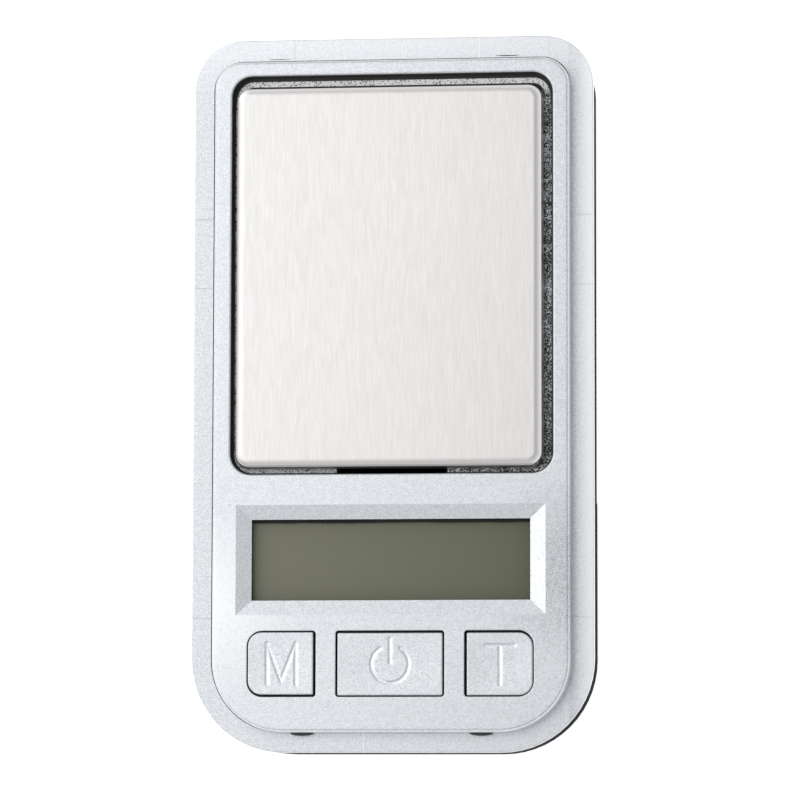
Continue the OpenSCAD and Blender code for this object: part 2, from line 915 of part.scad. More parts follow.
top_shell();
base_shell();
battery_door();
weighing_tray();
tray_pad();
tray_carrier();
load_cell();
strain_gauges();
load_cell_base_screws();
load_cell_carrier_screws();
overload_stop_screw();
main_pcb();
chip_blob();
smd_parts();
pcb_screws();
lcd_front_polariser();
lcd_front_glass();
lcd_rear_glass();
lcd_reflector();
lcd_gasket();
zebra_strip();
mode_button();
power_button();
tare_button();
mode_switch();
power_switch();
tare_switch();
mode_plunger();
power_plunger();
tare_plunger();
battery_1();
battery_2();
positive_contact();
negative_contact();
bridge_contact();
battery_springs();
load_cell_wires();
battery_wires();
case_screws();
rubber_feet();
rating_label();
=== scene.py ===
"""Digital gram scale: the looks of a silver pocket scale with a brushed steel tray."""

import math

import bmesh
import bpy
from mathutils import Matrix, Vector, geometry, noise


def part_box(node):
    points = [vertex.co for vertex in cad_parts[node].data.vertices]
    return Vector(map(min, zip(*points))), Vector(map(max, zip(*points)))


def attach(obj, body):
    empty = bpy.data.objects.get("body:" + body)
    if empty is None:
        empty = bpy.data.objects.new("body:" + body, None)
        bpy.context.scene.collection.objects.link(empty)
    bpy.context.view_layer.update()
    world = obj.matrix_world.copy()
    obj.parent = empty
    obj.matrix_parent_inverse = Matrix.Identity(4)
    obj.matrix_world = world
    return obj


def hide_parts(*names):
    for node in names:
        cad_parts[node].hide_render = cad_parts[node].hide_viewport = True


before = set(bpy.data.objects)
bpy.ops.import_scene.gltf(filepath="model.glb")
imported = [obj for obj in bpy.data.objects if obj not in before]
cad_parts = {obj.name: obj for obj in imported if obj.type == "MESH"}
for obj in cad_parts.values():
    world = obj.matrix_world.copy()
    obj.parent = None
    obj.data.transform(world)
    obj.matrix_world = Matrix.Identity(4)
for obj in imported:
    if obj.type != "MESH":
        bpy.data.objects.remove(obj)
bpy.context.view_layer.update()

MM = 0.001
ARC_STEPS = 14


# ---- sizes, in millimetres, read from the frame ----

def box_mm(node):
    """The lowest and highest corner of a CAD node, in millimetres."""
    low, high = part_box(node)
    return low / MM, high / MM


SHELL_HIGH = box_mm("top_shell")[1]
BASE_LOW, BASE_HIGH = box_mm("base_shell")
TRAY_LOW, TRAY_HIGH = box_mm("weighing_tray")
DOOR_LOW, DOOR_HIGH = box_mm("battery_door")
FEET_LOW, FEET_HIGH = box_mm("rubber_feet")

# thicknesses of plastic, and depths below the face
FLANGE_T, SKIN_T, FLOOR_T = 1.2, 1.6, 1.2
LEDGE_DEPTH, WELL_DEPTH = 2.3, 4.9

FACE_Z = SHELL_HIGH.z
SPLIT_Z = BASE_HIGH.z
FLANGE_Z = SPLIT_Z + FLANGE_T
SKIN_Z = FACE_Z - SKIN_T
LEDGE_Z = FACE_Z - LEDGE_DEPTH
WELL_FLOOR_Z = FACE_Z - WELL_DEPTH
FOOT_Z = BASE_LOW.z
FLOOR_Z = FOOT_Z + FLOOR_T

# Rectangles are given as (x0, x1, y0, y1) and corner radii anticlockwise from (x0, y0).

# the case's outline, and how far in from it the bezel stands
HALF_W = SHELL_HIGH.x
HALF_L = SHELL_HIGH.y
KEY_END_R = 14.8
TRAY_END_R = 8.0
BEZEL_SIDE, BEZEL_KEY_END, BEZEL_TRAY_END = 3.5, 3.05, 3.85

# the tray's well, the ledge round it, how wide the black strip along the ledge's outer edge is, at
# the sides and at the tray's end, from how far in the ledge is left black at the tray's end as a
# painted shadow of the tray, and the slot in the floor
WELL = (-HALF_W + 6.45, HALF_W - 6.25, -13.15, HALF_L - 6.35)
WELL_R = 3.3
LEDGE_W = 1.9
FOOT_BLACK_W, FOOT_BLACK_FAR = 0.36, 0.60
TRAY_SHADOW_FROM_FAR = 1.45
SLOT = (-8.8, 8.8, WELL[2] + 0.02, 43.0)

# the display window, and the bevel that leads down to it
WINDOW_C = -26.7
WINDOW = (-22.1, 22.1, WINDOW_C - 6.4, WINDOW_C + 6.4)
BEVEL = (-24.55, 24.55, WINDOW_C - 8.7, WINDOW_C + 8.7)
BEVEL_DEPTH = 0.7

# the buttons: each opening's ends in X and the radii of its corners
KEY_Y = (-48.3, -37.9)
KEY_C = sum(KEY_Y) / 2
KEY_GAP = 0.26  # between an opening's wall and its cap
BIG_R, SMALL_R = 2.45, 0.5
KEYS = {
    "mode": ((-22.7, -11.75), (BIG_R, SMALL_R, SMALL_R, BIG_R)),
    "power": ((-8.6, 8.6), (SMALL_R, SMALL_R, SMALL_R, SMALL_R)),
    "tare": ((11.75, 22.7), (SMALL_R, BIG_R, BIG_R, SMALL_R)),
}


# ---- meshes ----

def rounded(x0, x1, y0, y1, radii, steps=ARC_STEPS):
    """The points of a rectangle with rounded corners, anticlockwise from its low corner."""
    corners = ((x0, y0, 1, 1, 180), (x1, y0, -1, 1, 270), (x1, y1, -1, -1, 0), (x0, y1, 1, -1, 90))
    points = []
    for (x, y, sx, sy, start), r in zip(corners, radii):
        cx, cy = x + sx * r, y + sy * r
        for i in range(steps + 1):
            a = math.radians(start + 90 * i / steps)
            points.append((cx + r * math.cos(a), cy + r * math.sin(a)))
    return points


def circle(x, y, r, steps=40):
    """The points of a circle, anticlockwise."""
    turn = 2 * math.pi / steps
    return [(x + r * math.cos(turn * i), y + r * math.sin(turn * i)) for i in range(steps)]


def rounded_profile(corners, steps=6):
    """The points (inset, z) of a line whose corners, given as (inset, z, radius), are rounded."""
    out = []
    for i, (x, z, r) in enumerate(corners):
        here = Vector((x, z))
        if r == 0 or i in (0, len(corners) - 1):
            out.append((x, z))
            continue
        to_last = (Vector(corners[i - 1][:2]) - here).normalized()
        to_next = (Vector(corners[i + 1][:2]) - here).normalized()
        half = to_last.angle(to_next) / 2
        reach = r / math.tan(half)
        centre = here + (to_last + to_next).normalized() * (r / math.sin(half))
        start = here + to_last * reach - centre
        end = here + to_next * reach - centre
        swing = start.angle_signed(end)
        for k in range(steps + 1):
            a = -swing * k / steps
            c, s = math.cos(a), math.sin(a)
            out.append((centre.x + c * start.x - s * start.y,
                        centre.y + s * start.x + c * start.y))
    return out


def new_object(name, data):
    """An object that shows data, linked into the scene."""
    obj = bpy.data.objects.new(name, data)
    bpy.context.scene.collection.objects.link(obj)
    return obj


class Shape:
    """A mesh in the making. Sizes go in as millimetres and faces carry a material index."""

    def __init__(self):
        self.bm = bmesh.new()

    def crease(self, *rings):
        """Marks the edges along closed rings of corners as sharp."""
        for ring in rings:
            for a, b in zip(ring, ring[1:] + ring[:1]):
                self.bm.edges.get((a, b)).smooth = False

    def ring(self, points, z):
        """A closed ring of new points at height z."""
        return [self.bm.verts.new((x * MM, y * MM, z * MM)) for x, y in points]

    def ring3(self, points):
        """A closed ring of new points given as (x, y, z)."""
        return [self.bm.verts.new(Vector(p) * MM) for p in points]

    def rings(self, outline, profile):
        """Rings of an outline, which is a function of its inset, at each (inset, z)."""
        return [self.ring(outline(inset), z) for inset, z in profile]

    def band(self, low, high, material=0):
        """The wall between two rings with the same number of points."""
        n = len(low)
        for i in range(n):
            k = (i + 1) % n
            self.bm.faces.new((low[i], low[k], high[k], high[i])).material_index = material

    def loft(self, rings, material=0):
        """Walls along a list of rings."""
        for low, high in zip(rings, rings[1:]):
            self.band(low, high, material)

    def fill(self, outer, holes=(), material=0):
        """A flat face inside the ring outer, round the rings in holes."""
        rings = [outer, *holes]
        flat = [v for ring in rings for v in ring]
        for tri in geometry.tessellate_polygon([[v.co for v in ring] for ring in rings]):
            corners = [flat[i] for i in tri]
            if len(set(corners)) == 3:
                self.bm.faces.new(corners).material_index = material

    def turned(self, x, y, profile, steps=40, material=0):
        """A round form about an upright axis; profile is (radius, z). Returns its rings."""
        rings = [self.ring(circle(x, y, r, steps), z) for r, z in profile]
        self.loft(rings, material)
        return rings

    def rounded_block(self, low, high, r, z_r):
        """A closed block with corner radius r in plan and edges rounded by z_r."""
        def outline(inset):
            rr = max(r - inset, 0.02)
            return rounded(low[0] + inset, high[0] - inset, low[1] + inset, high[1] - inset,
                           (rr,) * 4, 4)
        profile = rounded_profile(
            [(z_r + 0.01, low[2], 0), (0, low[2], z_r), (0, high[2], z_r),
             (z_r + 0.01, high[2], 0)], 3)
        rings = self.rings(outline, profile)
        self.loft(rings)
        self.fill(rings[0])
        self.fill(rings[-1])

    def piece(self, name, body, materials, stands_for, sharp, even_normals=True):
        """Ends the mesh as a piece that rides on body and stands for CAD nodes.

        Edges that turn by more than sharp degrees stay sharp.
        """
        bmesh.ops.recalc_face_normals(self.bm, faces=self.bm.faces)
        for edge in self.bm.edges:
            if len(edge.link_faces) == 2 and edge.calc_face_angle() > math.radians(sharp):
                edge.smooth = False
        for face in self.bm.faces:
            face.smooth = True
        mesh = bpy.data.meshes.new(name)
        self.bm.to_mesh(mesh)
        self.bm.free()
        for material in materials:
            mesh.materials.append(material)
        obj = new_object(name, mesh)
        if even_normals:
            weighted = obj.modifiers.new("even_normals", "WEIGHTED_NORMAL")
            weighted.keep_sharp = True
            weighted.weight = 100
        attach(obj, body)
        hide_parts(*stands_for)


# ---- materials ----

class Nodes:
    """Short ways to build the nodes of a new material, or of the world given as owner."""

    def __init__(self, name="", owner=None):
        self.owner = owner or bpy.data.materials.new(name)
        self.owner.use_nodes = True
        self.tree = self.owner.node_tree
        self.shader = self.tree.nodes["Background" if owner else "Principled BSDF"]

    def add(self, kind, inputs, **settings):
        """A node with settings such as its operation; inputs maps sockets to what they get."""
        node = self.tree.nodes.new(kind)
        for key, value in settings.items():
            setattr(node, key, value)
        for socket, value in inputs.items():
            self.put(node.inputs[socket], value)
        return node

    def put(self, socket, value):
        """Links value into socket, or sets it if it is a plain value."""
        if isinstance(value, bpy.types.NodeSocket):
            self.tree.links.new(value, socket)
        else:
            socket.default_value = value

    def point(self, kind="Object"):
        """The point that is shaded, in object coordinates, or another kind of coordinates."""
        return self.add("ShaderNodeTexCoord", {}).outputs[kind]

    def noise(self, scale, detail=2, stretch=(1, 1, 1), rough=0.5):
        place = self.add("ShaderNodeMapping", {"Vector": self.point(), "Scale": stretch})
        node = self.add("ShaderNodeTexNoise", {
            "Vector": place.outputs[0], "Scale": scale, "Detail": detail, "Roughness": rough})
        return node.outputs["Fac"]

    def specks(self, scale, size):
        """Round specks, 1 inside and 0 outside."""
        node = self.add("ShaderNodeTexVoronoi", {"Vector": self.point(), "Scale": scale})
        return self.span(node.outputs["Distance"], size, size * 0.6, 0, 1)

    def span(self, value, low, high, to_low, to_high):
        """Maps low..high to to_low..to_high, and keeps it inside them."""
        inputs = dict(enumerate((value, low, high, to_low, to_high)))
        return self.add("ShaderNodeMapRange", inputs).outputs[0]

    def vary(self, texture, to_low, to_high):
        """Maps the range that a noise mostly keeps to onto to_low..to_high."""
        return self.span(texture, 0.3, 0.7, to_low, to_high)

    def math(self, operation, *values):
        inputs = dict(enumerate(values))
        return self.add("ShaderNodeMath", inputs, operation=operation).outputs[0]

    def times(self, a, b):
        return self.math("MULTIPLY", a, b)

    def most(self, value, *others):
        """The greatest of several values."""
        for other in others:
            value = self.math("MAXIMUM", value, other)
        return value

    def mix(self, factor, a, b):
        """Colour a where factor is 0 and b where it is 1."""
        # by number, because the sockets for numbers and for colours share their names
        return self.add("ShaderNodeMix", {0: factor, 6: a, 7: b}, data_type="RGBA").outputs[2]

    def axis(self, name, of="Object"):
        """One of the shaded point's coordinates: for the object's, in metres."""
        return self.add("ShaderNodeSeparateXYZ", {0: self.point(of)}).outputs[name]

    def along(self, axis, low, high, to_low, to_high):
        """Like span, over one of the object's coordinates from low to high millimetres."""
        return self.span(self.axis(axis), low * MM, high * MM, to_low, to_high)

    def facing(self, name="Z"):
        """How far a surface faces along an axis, from 1 for squarely to 0 for not at all."""
        return self.axis(name, "Normal")

    def depth_inside(self, box, radius):
        """How far inside a rounded rectangle, given in millimetres, a point near its edge is."""
        x0, x1, y0, y1 = box
        over = []
        for axis, low, high in (("X", x0, x1), ("Y", y0, y1)):
            away = self.math("SUBTRACT", self.axis(axis), (low + high) / 2 * MM)
            flat = ((high - low) / 2 - radius) * MM
            beyond = self.math("SUBTRACT", self.math("ABSOLUTE", away), flat)
            beyond = self.math("MAXIMUM", beyond, 0.0)
            over.append(self.times(beyond, beyond))
        reach = self.math("SQRT", self.math("ADD", *over))
        return self.math("SUBTRACT", radius * MM, reach)

    def near(self, point, reach):
        """1 at a point, falling to 0 at a distance of reach, in metres."""
        node = self.add("ShaderNodeVectorMath", {0: self.point(), 1: point},
                        operation="DISTANCE")
        return self.span(node.outputs["Value"], reach, reach * 0.2, 0, 1)

    def bump(self, height, distance, strength):
        return self.add("ShaderNodeBump", {
            "Height": height, "Distance": distance, "Strength": strength}).outputs["Normal"]

    def surface(self, colour, texture, rough, bump, **others):
        """Finishes a material whose roughness and bump both follow a texture.

        rough is (where it is low, where it is high) and bump is (distance, strength).
        """
        return self.finish(Base_Color=colour, Roughness=self.vary(texture, *rough),
                           Normal=self.bump(texture, *bump), **others)

    def finish(self, **values):
        """Sets the shader's sockets by name, with _ for a space, and returns its owner."""
        for key, value in values.items():
            self.put(self.shader.inputs[key.replace("_", " ")], value)
        return self.owner


def grey(v, warm=0.0):
    """A grey that is a little warm or, below zero, a little blue."""
    return (v * (1 + warm), v, v * (1 - warm), 1)


# witness lines of the mould across the flange: the axis they cut, where, and which end of the
# case they are at (1 the tray's, -1 the buttons', 0 both)
BRIGHT_LINES = (("X", -27.2, 1), ("X", 13.8, 1), ("X", -4.5, -1))
FAINT_LINES = (("X", -15.9, 1), ("X", 24.9, 1), ("Y", 28.1, 0), ("Y", 17.0, 0), ("Y", -35.7, 0))
LINE_HALF = 0.07  # half a line's width
LINE_END_Y = 40  # a line at one end only starts this far from the middle


def line_mask(n, lines):
    """1 on the given witness lines and 0 off them, on the flange only."""
    masks = []
    for axis, at, end in lines:
        away = n.math("ABSOLUTE", n.math("SUBTRACT", n.axis(axis), at * MM))
        on = n.span(away, LINE_HALF * MM, LINE_HALF * 0.5 * MM, 0, 1)
        if end:
            there = n.math("GREATER_THAN", n.times(n.axis("Y"), end), LINE_END_Y * MM)
            on = n.times(on, there)
        masks.append(on)
    flange = n.math("LESS_THAN", n.axis("Z"), (FLANGE_Z + 0.04) * MM)
    return n.times(n.most(*masks), flange)


# painted shade and painted light on the silver paint: the spot where each is strongest and how far
# it reaches, in millimetres, and their levels on paint that is not shaded by place
PAINTED_SHADE_SPOT, PAINTED_SHADE_REACH = (29, -28), 17
PAINTED_LIGHT_SPOT, PAINTED_LIGHT_REACH = (-30, -34), 16
EVEN_PAINTED_SHADE, EVEN_PAINTED_LIGHT = 0.04, 0.0


def painted_light_by_place(n):
    """Painted shade and painted light on the top shell's paint, each from 0 to 1.

    On the face the painted shade is deepest to the right of the display and the painted light
    strongest to its left. On the flange the painted light grows from left to right and towards the
    tray's end, and a strip beside the bezel's right wall carries a painted shadow of that wall.
    """
    face = n.math("GREATER_THAN", n.axis("Z"), (FLANGE_Z + 0.6) * MM)
    flange = n.math("SUBTRACT", 1.0, face)
    shade_spot = n.near(Vector((*PAINTED_SHADE_SPOT, FACE_Z)) * MM, PAINTED_SHADE_REACH * MM)
    light_spot = n.near(Vector((*PAINTED_LIGHT_SPOT, FACE_Z)) * MM, PAINTED_LIGHT_REACH * MM)

    painted_shade = n.math("MAXIMUM", n.along("X", -25, 30, 0.0, 0.14), shade_spot)
    painted_shade = n.math("ADD", n.times(face, painted_shade), n.times(flange, n.along("X", -30, 0, 0.24, 0.06)))
    # painted shadow of the bezel's right wall, on the flange beside it
    strip = n.times(flange, n.along("X", 28.4, 30.3, 0.46, 0))
    strip = n.times(strip, n.math("GREATER_THAN", n.axis("X"), 28 * MM))
    painted_shade = n.math("MAXIMUM", painted_shade, strip)

    # painted light: on the face to the left of the display, and on the flange near its right edge
    # and towards the tray's end
    painted_light = n.times(n.times(face, light_spot), 0.6)
    right = n.times(flange, n.along("X", 29.0, 31.5, 0, 0.80))
    far = n.times(flange, n.along("Y", 48, 56, 0, 0.35))
    painted_light = n.math("MAXIMUM", n.math("ADD", painted_light, right), far)
    return painted_shade, painted_light


def silver_paint(name, lines=False, tone=0.705, even=False):
    """Metallic paint: fine aluminium flakes in a satin lacquer over moulded plastic, with painted
    shade and painted light by place unless even.
    """
    n = Nodes(name)
    flakes = n.noise(5000, 2, rough=0.75)
    coarse = n.noise(1700, 2, rough=0.6)
    cloud = n.noise(60, 2)
    value = n.math("ADD", n.times(flakes, 0.75), n.times(coarse, 0.25))
    # painted shade darkens the flakes and strengthens their contrast; painted light pales the
    # colour
    painted_shade, painted_light = (EVEN_PAINTED_SHADE, EVEN_PAINTED_LIGHT) if even else painted_light_by_place(n)
    dark_flake = n.mix(painted_shade, grey(tone * 0.80, -0.034), grey(tone * 0.44, -0.042))
    light_flake = n.mix(painted_shade, grey(tone * 1.15, -0.032), grey(tone * 1.04, -0.038))
    colour = n.mix(n.span(value, 0.38, 0.62, 0, 1), dark_flake, light_flake)
    colour = n.mix(n.times(cloud, 0.10), colour, grey(tone * 0.85, -0.035))
    colour = n.mix(painted_light, colour, grey(tone * 1.26, -0.02))
    dark = n.times(n.specks(900, 0.10), n.math("GREATER_THAN", n.noise(130), 0.62))
    colour = n.mix(n.times(dark, 0.45), colour, grey(0.18))
    height = value
    if lines:
        bright = line_mask(n, BRIGHT_LINES)
        faint = line_mask(n, FAINT_LINES)
        colour = n.mix(n.times(bright, 0.8), colour, grey(0.97))
        colour = n.mix(n.times(faint, 0.22), colour, grey(0.45))
        height = n.math("ADD", value, n.times(n.math("MAXIMUM", bright, faint), 1.2))
    return n.finish(
        Base_Color=colour, Metallic=0.65,
        Roughness=n.vary(flakes, 0.44, 0.34),
        Normal=n.bump(height, 0.00002, 0.9),
        Coat_Weight=0.15, Coat_Roughness=0.25)


def oversprayed(name, left_cover, right_cover, far_cover=0.0):
    """Black plastic that the paint only reached as overspray; the covers say how much, 0 to 1."""
    n = Nodes(name)
    grain = n.noise(5000, 2, rough=0.75)
    broad = n.noise(700, 2)
    value = n.math("ADD", n.times(grain, 0.8), n.times(broad, 0.2))
    cover = n.along("X", -24, 24, left_cover, right_cover)
    # painted light: towards the tray's end the ledge gets a fuller cover and a paler silver
    far_band = n.along("Y", 45.5, 48.2, 0, 1)
    cover = n.math("MAXIMUM", cover, n.times(far_band, far_cover))
    value = n.math("ADD", value, n.times(n.math("SUBTRACT", cover, 0.5), 0.4))
    painted = n.span(value, 0.475, 0.545, 0, 1)
    # the ledge stays black along the foot of the wall, wider towards the tray's end
    wider = n.times(far_band, (FOOT_BLACK_FAR - FOOT_BLACK_W) * MM)
    black_foot = n.math("ADD", FOOT_BLACK_W * MM, wider)
    depth = n.depth_inside(WELL, WELL_R)
    painted = n.times(painted, n.math("GREATER_THAN", depth, black_foot))
    # painted shadow: the inner edge of the ledge at the tray's end, under the tray's edge, is left
    # black
    painted_tray_shadow = n.math("GREATER_THAN", depth, TRAY_SHADOW_FROM_FAR * MM)
    painted_tray_shadow = n.times(painted_tray_shadow, far_band)
    painted = n.times(painted, n.math("SUBTRACT", 1.0, painted_tray_shadow))
    # painted light: the paler silver at the tray's end
    silver = n.mix(far_band, grey(0.95, -0.03), grey(0.98, -0.01))
    colour = n.mix(painted, grey(0.020), silver)
    return n.finish(
        Base_Color=colour, Metallic=n.times(painted, 0.1),
        Roughness=n.vary(grain, 0.6, 0.45),
        Normal=n.bump(value, 0.00003, 0.8))


def black_plastic(name, tone=0.026, rough=0.5):
    """Moulded black plastic with a fine spark-eroded texture and slightly rubbed patches."""
    n = Nodes(name)
    texture = n.noise(3200, 3, rough=0.65)
    rubbed = n.noise(45, 3)
    colour = n.mix(n.span(rubbed, 0.35, 0.75, 0, 1), grey(tone, -0.02), grey(tone * 1.7, -0.01))
    return n.finish(
        Base_Color=colour, Specular_IOR_Level=0.0,
        Roughness=n.span(rubbed, 0.3, 0.75, rough + 0.08, rough - 0.10),
        Normal=n.bump(texture, 0.00004, 0.8))


def brushed_steel(name, tone=0.63):
    """Stainless steel sheet, brushed along the case, with a painted highlight and a painted
    reflection on its rolled edges.
    """
    n = Nodes(name)
    fine = n.noise(1, 1, (9500, 330, 900), 0.5)
    hair = n.noise(1, 1, (5200, 130, 300), 0.5)
    cloud = n.noise(28, 2, (1, 0.5, 1))
    lines = n.math("ADD", n.times(fine, 0.7), n.times(hair, 0.3))
    colour = n.mix(n.span(lines, 0.34, 0.66, 0, 1), grey(tone * 0.94, 0.022),
                   grey(tone * 1.05, 0.018))
    colour = n.mix(n.times(cloud, 0.12), colour, grey(tone * 0.90, 0.03))
    # painted highlight: rolled edges that face right or towards the far end are painted near
    # white, the others keep the steel's tone
    rolled = n.span(n.facing(), 0.995, 0.93, 0, 1)
    not_left = n.span(n.facing("X"), -0.16, 0.14, 0, 1)
    far = n.span(n.facing("Y"), 0.02, 0.14, 0, 1)
    bright = n.math("MAXIMUM", not_left, far)
    colour = n.mix(rolled, colour, n.mix(bright, grey(tone, 0.02), grey(0.98, 0.02)))
    # painted reflection: the steepest part of the roll, at the left and at the buttons, is
    # darkened where it would mirror the well's black wall
    painted_dark_reflection = n.most(*(n.times(n.span(n.facing(axis), -0.50, -0.40, 1, 0),
                            n.span(n.facing(axis), -0.75, -0.60, 0, 1)) for axis in "XY"))
    colour = n.mix(painted_dark_reflection, colour, grey(0.46, 0.02))
    return n.surface(colour, lines, (0.40, 0.34), (0.000006, 0.7), Metallic=1.0)


def plain_steel(name, tone=0.62, rough=0.28):
    """Plated steel with light handling marks."""
    n = Nodes(name)
    marks = n.noise(900, 3, (1, 1, 0.2))
    colour = n.mix(marks, grey(tone * 0.85, 0.01), grey(tone * 1.1, 0.01))
    return n.surface(colour, marks, (rough + 0.12, rough), (0.00001, 0.5), Metallic=1.0)


def milled_aluminium(name):
    """Sawn and milled aluminium bar with cutter marks across it."""
    n = Nodes(name)
    marks = n.noise(1, 2, (160, 2600, 160), 0.6)
    colour = n.mix(marks, grey(0.66, -0.005), grey(0.84, -0.005))
    return n.surface(colour, marks, (0.42, 0.26), (0.00002, 0.6), Metallic=1.0)


def rubber(name, tone=0.025):
    """Soft matt rubber with a dusty bloom."""
    n = Nodes(name)
    grain = n.noise(2400, 3, rough=0.7)
    dust = n.noise(300, 3)
    colour = n.mix(n.span(dust, 0.5, 0.8, 0, 0.5), grey(tone), grey(tone * 3.2, 0.02))
    return n.surface(colour, grain, (0.92, 0.74), (0.00005, 0.8))


def display_face(name):
    """The unlit grey-green face of a liquid crystal display, under a satin film."""
    n = Nodes(name)
    # painted shade: the face darkens from left to right
    across = n.along("X", -22, 22, 0, 1)
    colour = n.mix(across, (0.172, 0.175, 0.120, 1), (0.113, 0.120, 0.071, 1))
    cloud = n.noise(55, 2)
    colour = n.mix(n.times(cloud, 0.25), colour, (0.135, 0.140, 0.090, 1))
    film = n.noise(3000, 2)
    return n.surface(colour, film, (0.34, 0.26), (0.000002, 0.3), Specular_IOR_Level=0.35)


def display_glass(name):
    """Thin clear display glass with a green edge."""
    n = Nodes(name)
    film = n.noise(200, 2)
    return n.finish(Base_Color=n.mix(film, (0.80, 0.90, 0.86, 1), (0.88, 0.94, 0.92, 1)),
                    Roughness=n.vary(film, 0.06, 0.03), Transmission_Weight=0.9)


def solder_mask(name):
    """Green circuit board with paler tracks under its lacquer."""
    n = Nodes(name)
    wander = n.noise(1, 1, (420, 60, 1))
    other = n.noise(1, 1, (60, 420, 1))
    track = n.math("MAXIMUM", n.span(wander, 0.56, 0.58, 0, 1), n.span(other, 0.58, 0.60, 0, 1))
    colour = n.mix(track, (0.010, 0.085, 0.030, 1), (0.022, 0.150, 0.055, 1))
    return n.finish(Base_Color=colour, Roughness=n.vary(n.noise(900), 0.34, 0.24),
                    Normal=n.bump(track, 0.00003, 0.7), Coat_Weight=0.4, Coat_Roughness=0.15)


def moulded(name, colour, rough=0.45, size=2200):
    """A small moulded or coated piece in one colour, with grain and slight staining."""
    n = Nodes(name)
    grain = n.noise(size, 3)
    stain = n.noise(120, 2)
    darker = tuple(0.75 * c for c in colour) + (1,)
    shade = n.mix(n.span(stain, 0.35, 0.75, 0, 0.6), tuple(colour) + (1,), darker)
    return n.surface(shade, grain, (rough + 0.08, rough - 0.06), (0.00003, 0.6))


def wire_insulation(name, colours, order):
    """Glossy wire insulation in several colours; order(n) gives 0, 1, 2 and so on by place."""
    n = Nodes(name)
    place = order(n)
    colour = colours[0]
    for i, other in enumerate(colours[1:], 1):
        colour = n.mix(n.math("GREATER_THAN", place, i - 0.5), colour, other)
    grime = n.noise(600, 2)
    colour = n.mix(n.times(grime, 0.2), colour, grey(0.10, 0.1))
    return n.surface(colour, grime, (0.42, 0.28), (0.00001, 0.4))


SIGNAL_START = {"X": 8.1, "Y": 13.0}
SIGNAL_STEP = 1.2
SUPPLY_SPLIT_Y = -30.7


def signal_order(n):
    """Each load cell wire's bend is a step further out, in X and in Y, than the last one's."""
    steps = [n.math("DIVIDE", n.math("SUBTRACT", n.axis(axis), start * MM), SIGNAL_STEP * MM)
             for axis, start in SIGNAL_START.items()]
    return n.math("MAXIMUM", *steps)


def supply_order(n):
    """The red battery wire lies nearer the buttons than the black one."""
    return n.math("LESS_THAN", n.axis("Y"), SUPPLY_SPLIT_Y * MM)


def printed_sleeve(name):
    """The plain two-tone sleeve of a dry cell, glossy over metal."""
    n = Nodes(name)
    band = n.math("GREATER_THAN", n.math("ABSOLUTE", n.axis("X")), 13.5 * MM)
    colour = n.mix(band, (0.50, 0.30, 0.09, 1), (0.035, 0.035, 0.040, 1))
    scuffs = n.noise(400, 3)
    return n.surface(colour, scuffs, (0.34, 0.22), (0.00001, 0.5), Metallic=0.5,
                     Coat_Weight=0.3, Coat_Roughness=0.1)


PAINT = silver_paint("silver_paint_case", lines=True)
KEY_PAINT = silver_paint("silver_paint_keys", tone=0.71, even=True)
# painted highlight: a paler paint on each mark's floor and right wall, the side that faces the
# light
MARK_HIGHLIGHT_PAINT = silver_paint("silver_paint_mark_highlights", tone=0.90, even=True)
WELL_WALL = oversprayed("overspray_sparse", 0.05, 0.05)
# its far_cover gives the ledge painted light at the tray's end
WELL_LEDGE = oversprayed("overspray_dense", 0.62, 0.42, 0.68)
# painted shadow: outside the well this stays fully black; it darkens the groove at the bezel's
# foot and draws the catches' shadow lines at the tray's end
GROOVE = oversprayed("groove_painted_shadow", 0.3, 0.3)
BEVEL_PAINT = silver_paint("silver_paint_bevel", tone=0.785, even=True)
BLACK = black_plastic("black_case_plastic")
INNER_BLACK = black_plastic("black_inner_plastic", 0.016, 0.6)
STEEL = brushed_steel("brushed_tray_steel")
SCREW = plain_steel("plated_screw_steel")
CONTACT = plain_steel("nickel_contacts", 0.72, 0.22)
FOOT_RUBBER = rubber("foot_rubber")
FOAM = rubber("foam_black", 0.012)


# ---- the top shell ----

# its material slots, in the order of their list
ON_FACE, ON_WALL, ON_LEDGE, ON_INSIDE, ON_BEVEL, ON_PAINTED_SHADOW = range(6)

# the hair groove at the bezel's foot: (inset, how far it is widened to the left and the tray's
# end, depth)
GROOVE_ROWS = ((-0.17, 0.24, 0), (-0.13, 0.195, 0.10), (-0.02, 0, 0.10), (0, 0, 0))
WALL_T = 1.1  # of the bezel's wall and the well's
WELL_FLOOR_T = 1
LIP_OUTER, LIP_INNER, LIP_H = 2.5, 3.5, 1.4
LEDGE_EDGE = 0.12  # the chamfer of its inner edge

# profiles, as (inset, z): the flange with its skirt, the bezel's wall and face, the lip under
# the flange, and the rounded edges of the well and of a button's opening
FLANGE = rounded_profile(
    [(0.25, SPLIT_Z, 0), (0, SPLIT_Z, 0.08), (0, FLANGE_Z, 0.2), (1.2, FLANGE_Z, 0)])
BEZEL = rounded_profile(
    [(0, FLANGE_Z, 0), (0.02, FLANGE_Z + 0.10, 0), (0.20, FACE_Z, 0.5), (1.1, FACE_Z, 0)], 8)
LIP = ((LIP_OUTER, SPLIT_Z), (LIP_OUTER, SPLIT_Z - LIP_H), (LIP_INNER, SPLIT_Z - LIP_H),
       (LIP_INNER, SPLIT_Z))
WELL_EDGE = [(-0.45, FACE_Z), (-0.32, FACE_Z)] + rounded_profile(
    [(-0.31, FACE_Z, 0), (0, FACE_Z, 0.28), (0, FACE_Z - 0.32, 0)], 5)
KEY_EDGE = ((-0.16, FACE_Z), (-0.08, FACE_Z), (-0.02, FACE_Z - 0.03), (0, FACE_Z - 0.09))

